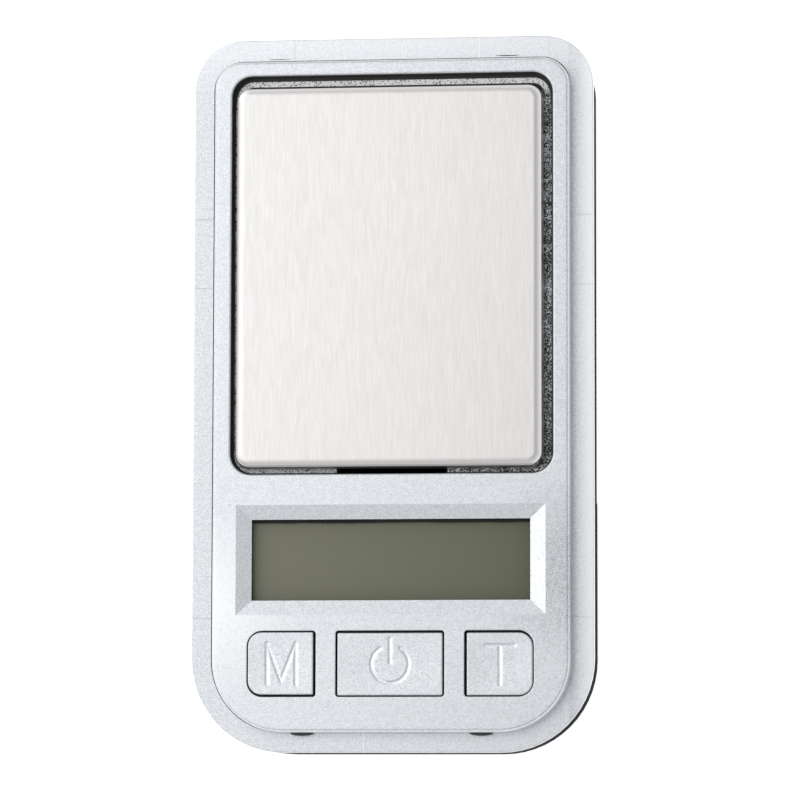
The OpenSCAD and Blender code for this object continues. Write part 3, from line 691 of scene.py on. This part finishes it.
# lid catches: (x, y, z, half sizes, material slot); at the tray's end each is only a thin black
# lens on the flange, the painted shadow at a catch's far edge
TRAY_CATCH_SHADOW_Y = HALF_L - BEZEL_TRAY_END + 0.70
KEY_CATCH_Y = -HALF_L + BEZEL_KEY_END + 0.04
LID_CATCHES = (
    (-18.3, TRAY_CATCH_SHADOW_Y, FLANGE_Z, (1.85, 0.04, 0.10), ON_PAINTED_SHADOW),
    (18.3, TRAY_CATCH_SHADOW_Y, FLANGE_Z, (1.85, 0.07, 0.10), ON_PAINTED_SHADOW),
    (-14.2, KEY_CATCH_Y, FLANGE_Z + 0.75, (1.9, 0.44, 0.30), ON_WALL),
    (14.2, KEY_CATCH_Y, FLANGE_Z + 0.75, (1.9, 0.44, 0.30), ON_WALL),
)


def end_radii(inset):
    """The case's corner radii, drawn in by inset."""
    key_r, tray_r = KEY_END_R - inset, TRAY_END_R - inset
    return key_r, key_r, tray_r, tray_r


def case_outline(inset):
    return rounded(-HALF_W + inset, HALF_W - inset, -HALF_L + inset, HALF_L - inset,
                   end_radii(inset))


def bezel_outline(inset):
    side = BEZEL_SIDE + inset
    return rounded(-HALF_W + side, HALF_W - side, -HALF_L + BEZEL_KEY_END + inset,
                   HALF_L - BEZEL_TRAY_END - inset, end_radii(side))


def well_outline(inset):
    x0, x1, y0, y1 = WELL
    return rounded(x0 + inset, x1 - inset, y0 + inset, y1 - inset, (WELL_R - inset,) * 4)


def ledge_outline(inset):
    """The ledge's inner edge, with the notch that the slot cuts through it."""
    points = well_outline(inset)
    x0, x1, y0, _ = SLOT
    edge_y, notch_y = points[ARC_STEPS][1], y0 + 0.1
    notch = [(x0, edge_y), (x0, notch_y), (x1, notch_y), (x1, edge_y)]
    return points[:ARC_STEPS + 1] + notch + points[ARC_STEPS + 1:]


def key_outline(key, inset):
    (x0, x1), radii = KEYS[key]
    inner = tuple(max(r - inset, 0.12) for r in radii)
    return rounded(x0 + inset, x1 - inset, KEY_Y[0] + inset, KEY_Y[1] - inset, inner, 8)


def plain_rectangle(x0, x1, y0, y1):
    return [(x0, y0), (x1, y0), (x1, y1), (x0, y1)]


def lid_catch(shape, x, y, z, half, material):
    """A slim lens with its middle at (x, y, z) and the half sizes half: a lid catch, or the
    painted shadow of one.
    """
    size = Matrix.Diagonal((*(Vector(half) * MM), 1))
    place = Matrix.Translation(Vector((x, y, z)) * MM)
    made = bmesh.ops.create_uvsphere(shape.bm, u_segments=32, v_segments=16, radius=1,
                                     matrix=place @ size)
    for vert in made["verts"]:
        for face in vert.link_faces:
            face.material_index = material


def top_shell():
    """Flange, bezel, tray well, display bevel and button openings as one closed shell."""
    s = Shape()
    flange = s.rings(case_outline, FLANGE)
    groove = [s.ring([(x - wider, y + wider) for x, y in bezel_outline(inset)],
                     FLANGE_Z - depth)
              for inset, wider, depth in GROOVE_ROWS]
    bezel = s.rings(bezel_outline, BEZEL[1:] + [(1.3, FACE_Z)])
    s.loft([*flange, groove[0]])
    # the groove's faces are black, a painted shadow along the bezel's foot
    s.loft(groove, ON_PAINTED_SHADOW)
    s.loft([groove[-1], *bezel])

    well = s.rings(well_outline, WELL_EDGE)
    s.loft(well)
    ledge_edge = s.ring(well_outline(0), LEDGE_Z)
    s.band(well[-1], ledge_edge, ON_WALL)
    ledge_lip = s.ring(ledge_outline(LEDGE_W - LEDGE_EDGE), LEDGE_Z)
    s.fill(ledge_edge, [ledge_lip], ON_LEDGE)
    well_floor = s.ring(ledge_outline(LEDGE_W), WELL_FLOOR_Z)
    ledge_side = s.ring(ledge_outline(LEDGE_W), LEDGE_Z - LEDGE_EDGE)
    s.loft([ledge_lip, ledge_side, well_floor], ON_WALL)
    slot_top, slot_low = (s.ring(plain_rectangle(*SLOT[:2], SLOT[2] + 0.4, SLOT[3]), z)
                          for z in (WELL_FLOOR_Z, WELL_FLOOR_Z - WELL_FLOOR_T))
    s.fill(well_floor, [slot_top], ON_WALL)
    s.band(slot_top, slot_low, ON_WALL)
    under_well = s.ring(well_outline(-WALL_T), WELL_FLOOR_Z - WELL_FLOOR_T)
    s.fill(under_well, [slot_low], ON_WALL)
    well_top = s.ring(well_outline(-WALL_T), SKIN_Z)
    s.band(under_well, well_top, ON_INSIDE)

    bevel_top = s.ring(plain_rectangle(*BEVEL), FACE_Z)
    bevel_low = s.ring(plain_rectangle(*WINDOW), FACE_Z - BEVEL_DEPTH)
    s.band(bevel_top, bevel_low, ON_BEVEL)
    s.crease(bevel_top, bevel_low, *([a, b] for a, b in zip(bevel_top, bevel_low)))
    window_low = s.ring(plain_rectangle(*WINDOW), SKIN_Z)
    s.band(bevel_low, window_low, ON_INSIDE)

    key_tops, key_lows = [], []
    for key in KEYS:
        rings = [s.ring(key_outline(key, inset), z) for inset, z in KEY_EDGE]
        s.loft(rings)
        low = s.ring(key_outline(key, 0), SKIN_Z)
        s.band(rings[-1], low, ON_WALL)
        key_tops.append(rings[0])
        key_lows.append(low)

    s.fill(bezel[-1], [well[0], bevel_top, *key_tops])

    # the inside: lip, hollow and the underside of the skin
    lip = s.rings(case_outline, LIP)
    hollow = s.rings(bezel_outline, ((WALL_T, SPLIT_Z), (WALL_T, SKIN_Z)))
    s.loft([flange[0], *lip, *hollow], ON_INSIDE)
    s.fill(hollow[-1], [well_top, window_low, *key_lows], ON_INSIDE)

    for catch in LID_CATCHES:
        lid_catch(s, *catch)
    s.piece("silver_top_shell", "case",
            [PAINT, WELL_WALL, WELL_LEDGE, INNER_BLACK, BEVEL_PAINT, GROOVE],
            ["top_shell"], 38)


# ---- the base shell, its door and its feet ----

INSIDE = 1  # the base shell's second material slot, after its outside

BASE_DRAFT = 0.38
BASE_SIDES = rounded_profile(
    [(4.0, FOOT_Z, 0), (2.4, FOOT_Z, 1.4), (BASE_DRAFT, FOOT_Z + 2.2, 1.8),
     (0, SPLIT_Z, 0.12), (0.4, SPLIT_Z, 0)], 8)
BASE_HOLLOW = ((2.2, SPLIT_Z), (2.2, 6.5), (3.0, 6.0), (3.0, FLOOR_Z + 0.4), (3.5, FLOOR_Z))
SHOULDER_Y = -17.0  # beside the tray the base is narrower by SHOULDER on each side
SHOULDER = 0.10
CORNER_TIGHTER = 0.15  # how much less the lower right corner's radius is
CORNER_GROWS = 1.8  # how fast the corners by the buttons open out with the draft
LABEL = (-17, 17, 11, 29)
LABEL_R = 1.1
LABEL_DEPTH = 0.1

# radii of a post, of its hole and of the recess for the screw's head
CASE_POST = (3.2, 1.2, 2.1)
CELL_POST = (2.9, 1.4, 2.5)
STOP_POST_R, STOP_HOLE_R, STOP_TOP = 3.5, 1.52, FLOOR_Z + 1.2


def stepped_post(post_r, hole_r, head_r, seat, top):
    """The profile of a post from the floor, through its hole, to the underside."""
    return [(post_r, FLOOR_Z), (post_r, top), (hole_r, top), (hole_r, seat), (head_r, seat),
            (head_r, FOOT_Z)]


# (x of a pair or 0 for a single post, y, profile)
POSTS = (
    (10.2, -50.7, stepped_post(*CASE_POST, 9.4, SPLIT_Z - 0.1)),
    (20.0, 44.0, stepped_post(*CASE_POST, 3.2, 6.0)),
    (0, -0.8, stepped_post(*CELL_POST, 2.4, 4)),
    (0, 5.2, stepped_post(*CELL_POST, 2.4, 4)),
    (0, 34.2, [(STOP_POST_R, FLOOR_Z), (STOP_POST_R, STOP_TOP), (STOP_HOLE_R, STOP_TOP),
               (STOP_HOLE_R, FOOT_Z)]),
)

# the battery compartment, its door's tabs and the thumb notch beside the door
DOOR_HOLE = (-24.6, 24.6, -46.0, -24.0)
TUB_TOP = 12.7
TUB_WALL_T, TUB_ROOF_T = 1, 0.8
TAB_X = (-12, 12)
TAB_HALF_W = 4
TAB_PLAY = 0.3
TAB_SLOT_H = 2
THUMB_R = 5.0
THUMB_Y = DOOR_HOLE[2] - 0.35
THUMB_DEPTH, THUMB_TAPER = 0.6, 0.92


def base_outline(inset, back=0.0):
    """The case's outline, moved back towards the buttons and drawn in beside the tray."""
    turn = 2 * (ARC_STEPS + 1)
    x, end = HALF_W - inset, HALF_L - inset
    key_r, tray_r = KEY_END_R - inset + CORNER_GROWS * back, TRAY_END_R - inset
    lower = rounded(-x, x, -end - back, end - back,
                    (key_r, key_r - CORNER_TIGHTER, key_r, key_r))[:turn]
    upper = rounded(-x + SHOULDER, x - SHOULDER, -end - back, end - back, (tray_r,) * 4)[turn:]
    step = [(x, SHOULDER_Y - 0.2), (x - SHOULDER, SHOULDER_Y + 0.2)]
    other = [(-px, py) for px, py in reversed(step)]
    return lower + step + upper + other


def tub(shape, rim):
    """The battery compartment inside the rim of its opening, with slots for the door's tabs."""
    y1 = DOOR_HOLE[3]
    top = shape.ring(plain_rectangle(*DOOR_HOLE), TUB_TOP)
    for i in (0, 1, 3):
        k = (i + 1) % 4
        shape.bm.faces.new((rim[i], rim[k], top[k], top[i])).material_index = INSIDE
    slots = []
    half = TAB_HALF_W + TAB_PLAY
    for x in TAB_X:
        corners = plain_rectangle(x - half, x + half, FLOOR_Z, FLOOR_Z + TAB_SLOT_H)
        near, far = (shape.ring3([(cx, y, cz) for cx, cz in corners])
                     for y in (y1, y1 + TUB_WALL_T))
        shape.band(near, far, INSIDE)
        slots.append(near)
    shape.fill([rim[2], rim[3], top[3], top[2]], slots, INSIDE)
    shape.fill(top, material=INSIDE)


def base_shell():
    """The black lower shell: rounded sides, flat floor with its openings, posts and hollow."""
    s = Shape()
    # all but the rim is moved back by its draft
    outer = [s.ring(base_outline(inset, min(inset, BASE_DRAFT) * (z < SPLIT_Z - 0.2)), z)
             for inset, z in BASE_SIDES]
    s.loft(outer)
    inner = s.rings(base_outline, BASE_HOLLOW)
    s.loft([outer[-1], *inner], INSIDE)

    bottom_holes, floor_holes = [], []
    for x, y, profile in POSTS:
        for side in (-1, 1) if x else (1,):
            rings = s.turned(side * x, y, profile, 32, INSIDE)
            floor_holes.append(rings[0])
            bottom_holes.append(rings[-1])

    rim = s.ring(plain_rectangle(*DOOR_HOLE), FOOT_Z)
    tub(s, rim)
    x0, x1, y0, y1 = DOOR_HOLE
    tub_outline = plain_rectangle(x0 - TUB_WALL_T, x1 + TUB_WALL_T,
                                  y0 - TUB_WALL_T, y1 + TUB_WALL_T)
    tub_low, tub_high = (s.ring(tub_outline, z) for z in (FLOOR_Z, TUB_TOP + TUB_ROOF_T))
    s.band(tub_low, tub_high, INSIDE)
    s.fill(tub_high, material=INSIDE)
    floor_holes.append(tub_low)

    label_outline = rounded(*LABEL, (LABEL_R,) * 4, 6)
    label = [s.ring(label_outline, z) for z in (FOOT_Z, FOOT_Z + LABEL_DEPTH)]
    half_turn = [math.pi * (1 + i / 24) for i in range(25)]
    thumb = [s.ring([(r * math.cos(a), THUMB_Y + r * math.sin(a)) for a in half_turn], z)
             for r, z in ((THUMB_R, FOOT_Z), (THUMB_R * THUMB_TAPER, FOOT_Z + THUMB_DEPTH))]
    for recess in (label, thumb):
        s.loft(recess)
        s.fill(recess[-1])

    s.fill(outer[0], [*bottom_holes, rim, label[0], thumb[0]])
    s.fill(inner[-1], floor_holes, INSIDE)
    s.piece("black_base_shell", "case", [BLACK, INNER_BLACK], ["base_shell"], 40)


DOOR_PLAY = 0.3
GRIP_COUNT, GRIP_START, GRIP_STEP, GRIP_DEPTH = 4, 3, 1.5, 0.35
TAB_TOP = 1.1
TONGUE_HALF_W = 5


def battery_door():
    """The door: a plate with softened edges, grip grooves, two tabs and the snap tongue."""
    s = Shape()
    low, high = DOOR_LOW, DOOR_HIGH
    y_edge = DOOR_HOLE[3] - DOOR_PLAY

    def outline(inset):
        return rounded(low.x + inset, high.x - inset, low.y + inset, y_edge - inset,
                       (max(0.5 - inset, 0.1),) * 4, 5)

    profile = rounded_profile([(0.5, FOOT_Z, 0), (0, FOOT_Z, 0.25), (0, FLOOR_Z, 0.1),
                               (0.4, FLOOR_Z, 0)], 4)
    rings = s.rings(outline, profile)
    s.loft(rings)
    s.fill(rings[-1])
    grooves = []
    for i in range(GRIP_COUNT):
        y = DOOR_HOLE[2] + GRIP_START + GRIP_STEP * i
        edge, deep = (s.ring(rounded(-x, x, y - half, y + half, (half - 0.02,) * 4, 5), z)
                      for x, half, z in ((7, 0.4, FOOT_Z), (6.75, 0.15, FOOT_Z + GRIP_DEPTH)))
        s.band(edge, deep)
        s.fill(deep)
        grooves.append(edge)
    s.fill(rings[0], grooves)
    tab_top = FLOOR_Z + TAB_TOP
    for x in TAB_X:
        x0, x1 = x - TAB_HALF_W, x + TAB_HALF_W
        s.rounded_block((x0, y_edge - 1, FLOOR_Z - 0.1), (x1, y_edge, tab_top), 0.2, 0.1)
        s.rounded_block((x0, y_edge - 0.4, FLOOR_Z + 0.1), (x1, high.y, tab_top), 0.3, 0.15)
    s.rounded_block((-TONGUE_HALF_W, low.y + 0.2, FLOOR_Z - 0.1),
                    (TONGUE_HALF_W, low.y + 0.8, high.z), 0.2, 0.15)
    s.piece("battery_door_panel", "door", [BLACK], ["battery_door"], 40)


FOOT_R = 3.2
KEY_END_FOOT_X = 20.0


def rubber_feet():
    """Four round feet with a rolled rim and a shallow dimple."""
    s = Shape()
    r = FOOT_R
    profile = [(r, FEET_HIGH.z), (r, 0.35), (r - 0.10, 0.14), (r - 0.35, 0.02),
               (r - 0.6, 0.0), (r - 0.9, 0.03), (r - 1.1, 0.12), (0.6, 0.16)]
    for x, y in ((KEY_END_FOOT_X, FEET_LOW.y + r), (FEET_HIGH.x - r, FEET_HIGH.y - r)):
        for side in (-1, 1):
            rings = s.turned(side * x, y, profile)
            s.fill(rings[0])
            s.fill(rings[-1])
    s.piece("rubber_feet_pads", "case", [FOOT_RUBBER], ["rubber_feet"], 50)


# ---- the tray ----

LEFT_SHORT, RIGHT_SHORT = 0.15, 0.06  # how far it stops short of the CAD's edges
ROLL_STEPS = 10


def weighing_tray():
    """A drawn steel pan: flat brushed face, rolled edges and a hemmed rim."""
    s = Shape()
    low, high = TRAY_LOW, TRAY_HIGH
    plan_r, sheet = 2.4, 0.5
    # the face rolls over in a broad arc, turns down sharply, and the side flares to its rim
    roll_w, roll_r, roll_end, flare = 1.55, 2.3, math.radians(30), 0.26

    def outline(inset):
        r = plan_r - min(inset, plan_r - 0.4)
        return rounded(low.x + LEFT_SHORT + inset, high.x - RIGHT_SHORT - inset,
                       low.y + inset, high.y - inset, (r,) * 4)

    skin = []
    for i in range(ROLL_STEPS + 1):
        a = roll_end * i / ROLL_STEPS
        skin.append((roll_w - roll_r * math.sin(a), high.z - roll_r * (1 - math.cos(a))))
    last, drop = skin[-1]
    shoulder = drop - (last - flare) * math.tan(roll_end)
    skin += rounded_profile(
        [(last, drop, 0), (flare, shoulder, 0.16), (0, low.z, 0.12), (sheet, low.z, 0.12),
         (flare + sheet, shoulder - sheet * 0.6, 0.2), (roll_w, high.z - sheet, 0.5),
         (roll_w + 0.6, high.z - sheet, 0)], 6)[1:]
    rings = s.rings(outline, skin)
    s.loft(rings)
    s.fill(rings[0])
    s.fill(rings[-1])
    s.piece("brushed_weighing_tray", "tray", [STEEL], ["weighing_tray"], 50)


# ---- the buttons ----

# material slots of a cap
CAP_FACE, CAP_WALL, CAP_MARK_HIGHLIGHT = range(3)

CAP_STEP = 0.09  # of the net of points on its face
CAP_DISH = 0.10
CAP_ROUND = 0.30  # how far in from its edge the face starts
CAP_T = 1.1
RIM_H, RIM_PROUD = 0.3, 0.58  # the rim that keeps it in its opening
STEM_R, STEM_TIP_R = 1.5, 0.3
MARK_HALF = 0.23  # half a stroke's width
MARK_DEPTH = 0.16
MARK_STEEP, MARK_GENTLE = 0.16, 0.56  # widths of a stroke's left and right wall
MARK_PROBE = 0.02
RING_R, RING_GAP = 2.95, math.radians(33)
CAP_SHIFT = {"mode": (-0.13, 0.07), "power": (0.0, -0.08), "tare": (0.11, -0.08)}


def clamp(value, low, high):
    return max(low, min(high, value))


def to_stroke(p, a, b):
    """The distance from point p to the stroke from a to b."""
    a, b = Vector(a), Vector(b)
    along = b - a
    t = clamp((p - a).dot(along) / along.length_squared, 0, 1)
    return (p - a - along * t).length


def mode_mark(p):
    strokes = (((-2.15, -3.2), (-2.15, 3.2)), ((-2.15, 3.1), (0.05, -2.7)),
               ((0.05, -2.7), (2.4, 3.1)), ((2.4, 3.2), (2.4, -3.2)))
    return min(to_stroke(p, a, b) for a, b in strokes)


def power_mark(p):
    """A ring open at its top, with an upright bar in the gap."""
    ring = abs(p.length - RING_R)
    if p.y > 0 and abs(math.atan2(p.x, p.y)) < RING_GAP:
        end = RING_R * Vector((math.copysign(math.sin(RING_GAP), p.x), math.cos(RING_GAP)))
        ring = (p - end).length
    return min(ring, to_stroke(p, (0, 0.3), (0, 4.0)))


def tare_mark(p):
    return min(to_stroke(p, (-2.3, 2.9), (2.3, 2.9)), to_stroke(p, (0, 2.9), (0, -3.1)))


MARKS = {"mode": mode_mark, "power": power_mark, "tare": tare_mark}


def cap_surface(key, p, half_x, half_y):
    """The height of a cap's face at p, seen from its middle, and whether p lies on the mark off
    its left wall, where the mark gets a painted highlight.
    """
    mark = MARKS[key]
    dish = max(0, 1 - (p.x / half_x) ** 2) * max(0, 1 - (p.y / half_y) ** 2)
    # a stroke's left wall is steep and its right wall gentle
    side = Vector((MARK_PROBE, -MARK_PROBE / 2))
    rightward = clamp((mark(p + side) - mark(p - side)) / (2 * MARK_PROBE), -1, 1)
    soft = MARK_STEEP + (MARK_GENTLE - MARK_STEEP) * (0.5 + 0.5 * rightward)
    cut = clamp((MARK_HALF + soft / 2 - mark(p)) / soft, 0, 1)
    smooth = cut * cut * (3 - 2 * cut)
    height = FACE_Z - 0.01 - CAP_DISH * dish - MARK_DEPTH * smooth
    return height, cut > 0.04 and rightward > -0.3


def key_cap(key):
    """A cap with rounded edges, a slight dish and its mark pressed into its face."""
    s = Shape()
    (x0, x1), _ = KEYS[key]
    middle = Vector(((x0 + x1) / 2, KEY_C))
    cad_low, _ = box_mm(key + "_button")
    rim_low, rim_high = cad_low.z + RIM_H, SKIN_Z - 0.05
    shift = Vector(CAP_SHIFT[key])

    def cap_ring(inset, z):
        return s.ring([Vector(p) + shift for p in key_outline(key, KEY_GAP + inset)], z)

    body = [cap_ring(inset, z) for inset, z in rounded_profile(
        [(0, FACE_Z - 0.4, 0), (0.02, FACE_Z, 0.22), (CAP_ROUND, FACE_Z - 0.01, 0)], 6)]
    s.loft(body)
    foot = cap_ring(0, rim_high)
    s.band(foot, body[0], CAP_WALL)
    rim = [s.ring(key_outline(key, -RIM_PROUD), z) for z in (rim_high, rim_low)]
    hollow = [cap_ring(0.9, z) for z in (rim_low, FACE_Z - CAP_T)]
    s.loft([foot, *rim, *hollow], CAP_WALL)
    s.fill(hollow[-1], material=CAP_WALL)
    s.turned(middle.x, middle.y,
             [(STEM_R, FACE_Z - CAP_T), (STEM_R, cad_low.z), (STEM_TIP_R, cad_low.z)], 24)

    # the face: a fine net of points inside the last ring, lowered by the dish and the mark
    edge = [v.co.xy / MM for v in body[-1]]
    fine = []
    for a, b in zip(edge, edge[1:] + edge[:1]):
        parts = max(1, round((b - a).length / CAP_STEP))
        fine += [a + (b - a) * i / parts for i in range(parts)]
    count = len(fine)
    centre = middle + shift
    half_x, half_y = ((end - start) / 2 - KEY_GAP - CAP_ROUND
                      for start, end in ((x0, x1), KEY_Y))
    columns, rows = (round(2 * half / CAP_STEP) for half in (half_x, half_y))
    net = [centre + Vector((-half_x + 2 * half_x * i / columns,
                            -half_y + 2 * half_y * j / rows))
           for i in range(1, columns) for j in range(1, rows)]
    links = [(i, (i + 1) % count) for i in range(count)]
    points, _, faces, _, _, _ = geometry.delaunay_2d_cdt(
        fine + net, links, [list(range(count))], 1, 1e-5)
    surface = [cap_surface(key, p - middle - shift, half_x, half_y) for p in points]
    verts = [s.bm.verts.new((p.x * MM, p.y * MM, z * MM)) for p, (z, _) in zip(points, surface)]
    for face in faces:
        made = s.bm.faces.new([verts[i] for i in face])
        # faces on the mark, off its left wall, get the paler paint as a painted highlight
        made.material_index = CAP_MARK_HIGHLIGHT if all(surface[i][1] for i in face) else CAP_FACE
    bmesh.ops.remove_doubles(s.bm, verts=s.bm.verts, dist=2e-6)
    s.piece(key + "_key_cap", key + "_key", [KEY_PAINT, WELL_WALL, MARK_HIGHLIGHT_PAINT],
            [key + "_button"], 60, even_normals=False)


# ---- the gasket ----

SEEN_W = 0.46  # how far it stands into the window along the top
RAGGED, WAVES, WAVE_STEPS = 0.10, 14, 48


def gasket():
    """The black foam frame between the display and the shell, seen along the window's top."""
    s = Shape()
    low, high = box_mm("lcd_gasket")
    x0, x1, y0, y1 = WINDOW
    top = y1 - SEEN_W
    wave = []
    for i in range(WAVE_STEPS + 1):
        t = i / WAVE_STEPS
        ragged = RAGGED * noise.noise(Vector((t * WAVES, 0.3, 0)))
        wave.append((x1 - 0.02 + (x0 - x1 + 0.04) * t, top + ragged))
    hole = [(x0 - 0.1, y0 - 0.1), (x1 + 0.1, y0 - 0.1), (x1 + 0.1, top), *wave, (x0 - 0.1, top)]
    heights = (low.z + 0.02, high.z - 0.02)
    outer = [s.ring(plain_rectangle(low.x, high.x, low.y, high.y), z) for z in heights]
    inside = [s.ring(hole, z) for z in heights]
    s.loft(outer)
    s.loft(inside)
    for edge, opening in zip(outer, inside):
        s.fill(edge, [opening])
    s.piece("display_gasket", "case", [FOAM], ["lcd_gasket"], 40)


top_shell()
base_shell()
battery_door()
rubber_feet()
weighing_tray()
for key_name in KEYS:
    key_cap(key_name)
gasket()


# ---- materials of the CAD pieces that show as they are ----

RED, GREEN = (0.45, 0.020, 0.015, 1), (0.015, 0.22, 0.050, 1)
DARK, WHITE = (0.015, 0.015, 0.016, 1), (0.72, 0.71, 0.68, 1)
SIGNAL_COLOURS, SUPPLY_COLOURS = (DARK, RED, GREEN, WHITE), (DARK, RED)


def wear(nodes, material):
    """Gives CAD nodes their material."""
    for name in nodes:
        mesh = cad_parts[name].data
        mesh.materials.clear()
        mesh.materials.append(material)
        for polygon in mesh.polygons:
            polygon.material_index = 0


wear(["lcd_front_polariser"], display_face("display_face"))
wear(["lcd_front_glass", "lcd_rear_glass"], display_glass("display_glass"))
wear(["lcd_reflector"], moulded("reflector_film", (0.45, 0.46, 0.42), 0.3))
wear(["zebra_strip"], moulded("zebra_rubber", (0.55, 0.26, 0.26), 0.6))
wear(["main_pcb"], solder_mask("green_board"))
wear(["chip_blob"], moulded("black_epoxy", (0.012, 0.012, 0.012), 0.2, 400))
wear(["smd_parts"], moulded("component_bodies", (0.03, 0.03, 0.032), 0.45))
wear(["mode_switch", "power_switch", "tare_switch"],
     moulded("switch_bodies", (0.02, 0.02, 0.022), 0.5))
wear(["mode_plunger", "power_plunger", "tare_plunger"],
     moulded("switch_plungers", (0.62, 0.58, 0.48), 0.4))
wear(["case_screws", "pcb_screws", "load_cell_base_screws", "load_cell_carrier_screws",
      "overload_stop_screw"], SCREW)
wear(["positive_contact", "negative_contact", "bridge_contact", "battery_springs"], CONTACT)
wear(["battery_1", "battery_2"], printed_sleeve("cell_sleeves"))
wear(["load_cell"], milled_aluminium("load_cell_aluminium"))
wear(["strain_gauges"], moulded("gauge_silicone", (0.82, 0.81, 0.74), 0.55))
wear(["tray_carrier"], black_plastic("carrier_plastic", 0.016, 0.6))
wear(["tray_pad"], moulded("foam_tape", (0.75, 0.75, 0.72), 0.85, 1500))
wear(["load_cell_wires"], wire_insulation("signal_wires", SIGNAL_COLOURS, signal_order))
wear(["battery_wires"], wire_insulation("supply_wires", SUPPLY_COLOURS, supply_order))
wear(["rating_label"], moulded("blank_label", (0.70, 0.71, 0.72), 0.35))


# ---- floor, light and camera ----

def floor():
    """A plain pale floor, far larger than the view."""
    bm = bmesh.new()
    bmesh.ops.create_grid(bm, x_segments=1, y_segments=1, size=3)
    mesh = bpy.data.meshes.new("floor")
    bm.to_mesh(mesh)
    bm.free()
    obj = new_object("floor", mesh)
    n = Nodes("pale_floor")
    mesh.materials.append(n.finish(
        Base_Color=grey(0.93), Roughness=0.9, Specular_IOR_Level=0.1,
        Emission_Color=grey(1.0), Emission_Strength=0.68))


def softbox(name, at, aim, size, power):
    """A square soft light at a point, facing another. Places are in metres."""
    light = bpy.data.lights.new(name, "AREA")
    light.shape = "SQUARE"
    light.size = size
    light.energy = power
    obj = new_object(name, light)
    obj.location = at
    obj.rotation_euler = (Vector(aim) - Vector(at)).to_track_quat("-Z", "Y").to_euler()


CAMERA_TARGET = Vector((1.075, -1.113, 15.0))
CAMERA_TILT_X = math.radians(6.547)
CAMERA_TILT_Y = math.radians(5.716)
CAMERA_ROLL = math.radians(0.129)
CAMERA_DISTANCE = 717.5
CAMERA_LENS = 203.3


def camera():
    """A long lens almost straight above, tipped towards the buttons and the right side."""
    back = Vector((math.tan(CAMERA_TILT_X), -math.tan(CAMERA_TILT_Y), 1)).normalized()
    right = Vector((0, 1, 0)).cross(back).normalized()
    up = back.cross(right)
    c, s = math.cos(CAMERA_ROLL), math.sin(CAMERA_ROLL)
    right, up = c * right + s * up, c * up - s * right
    data = bpy.data.cameras.new("camera")
    data.lens = CAMERA_LENS
    data.sensor_width = 36
    data.clip_start = 0.01
    data.clip_end = 20
    obj = new_object("camera", data)
    turn = Matrix((right, up, back)).transposed().to_4x4()
    obj.matrix_world = Matrix.Translation((CAMERA_TARGET + back * CAMERA_DISTANCE) * MM) @ turn
    bpy.context.scene.camera = obj


def studio():
    """Surroundings that brighten towards the horizon, and a broad softbox above to the left."""
    world = bpy.data.worlds.new("studio")
    bpy.context.scene.world = world
    n = Nodes(owner=world)
    x, y, z = (n.axis(name, "Generated") for name in "XYZ")
    walls = n.span(z, 0.25, 0.65, 0.95, 0.50)
    # the room is a little darker beyond the tray and lighter beyond the buttons
    ends = n.span(y, -0.8, 0.8, 1.03, 0.84)
    sides = n.span(n.math("ABSOLUTE", x), 0.05, 0.65, 1.0, 1.26)
    strength = n.times(n.times(walls, ends), sides)
    n.finish(Color=(0.985, 0.985, 1.0, 1), Strength=strength)
    softbox("left_key", (-0.27, 0.10, 0.52), (0, 0, 0), 0.60, 1.5)


floor()
studio()
camera()
bpy.context.scene.view_settings.view_transform = "Standard"

bpy.context.view_layer.update()
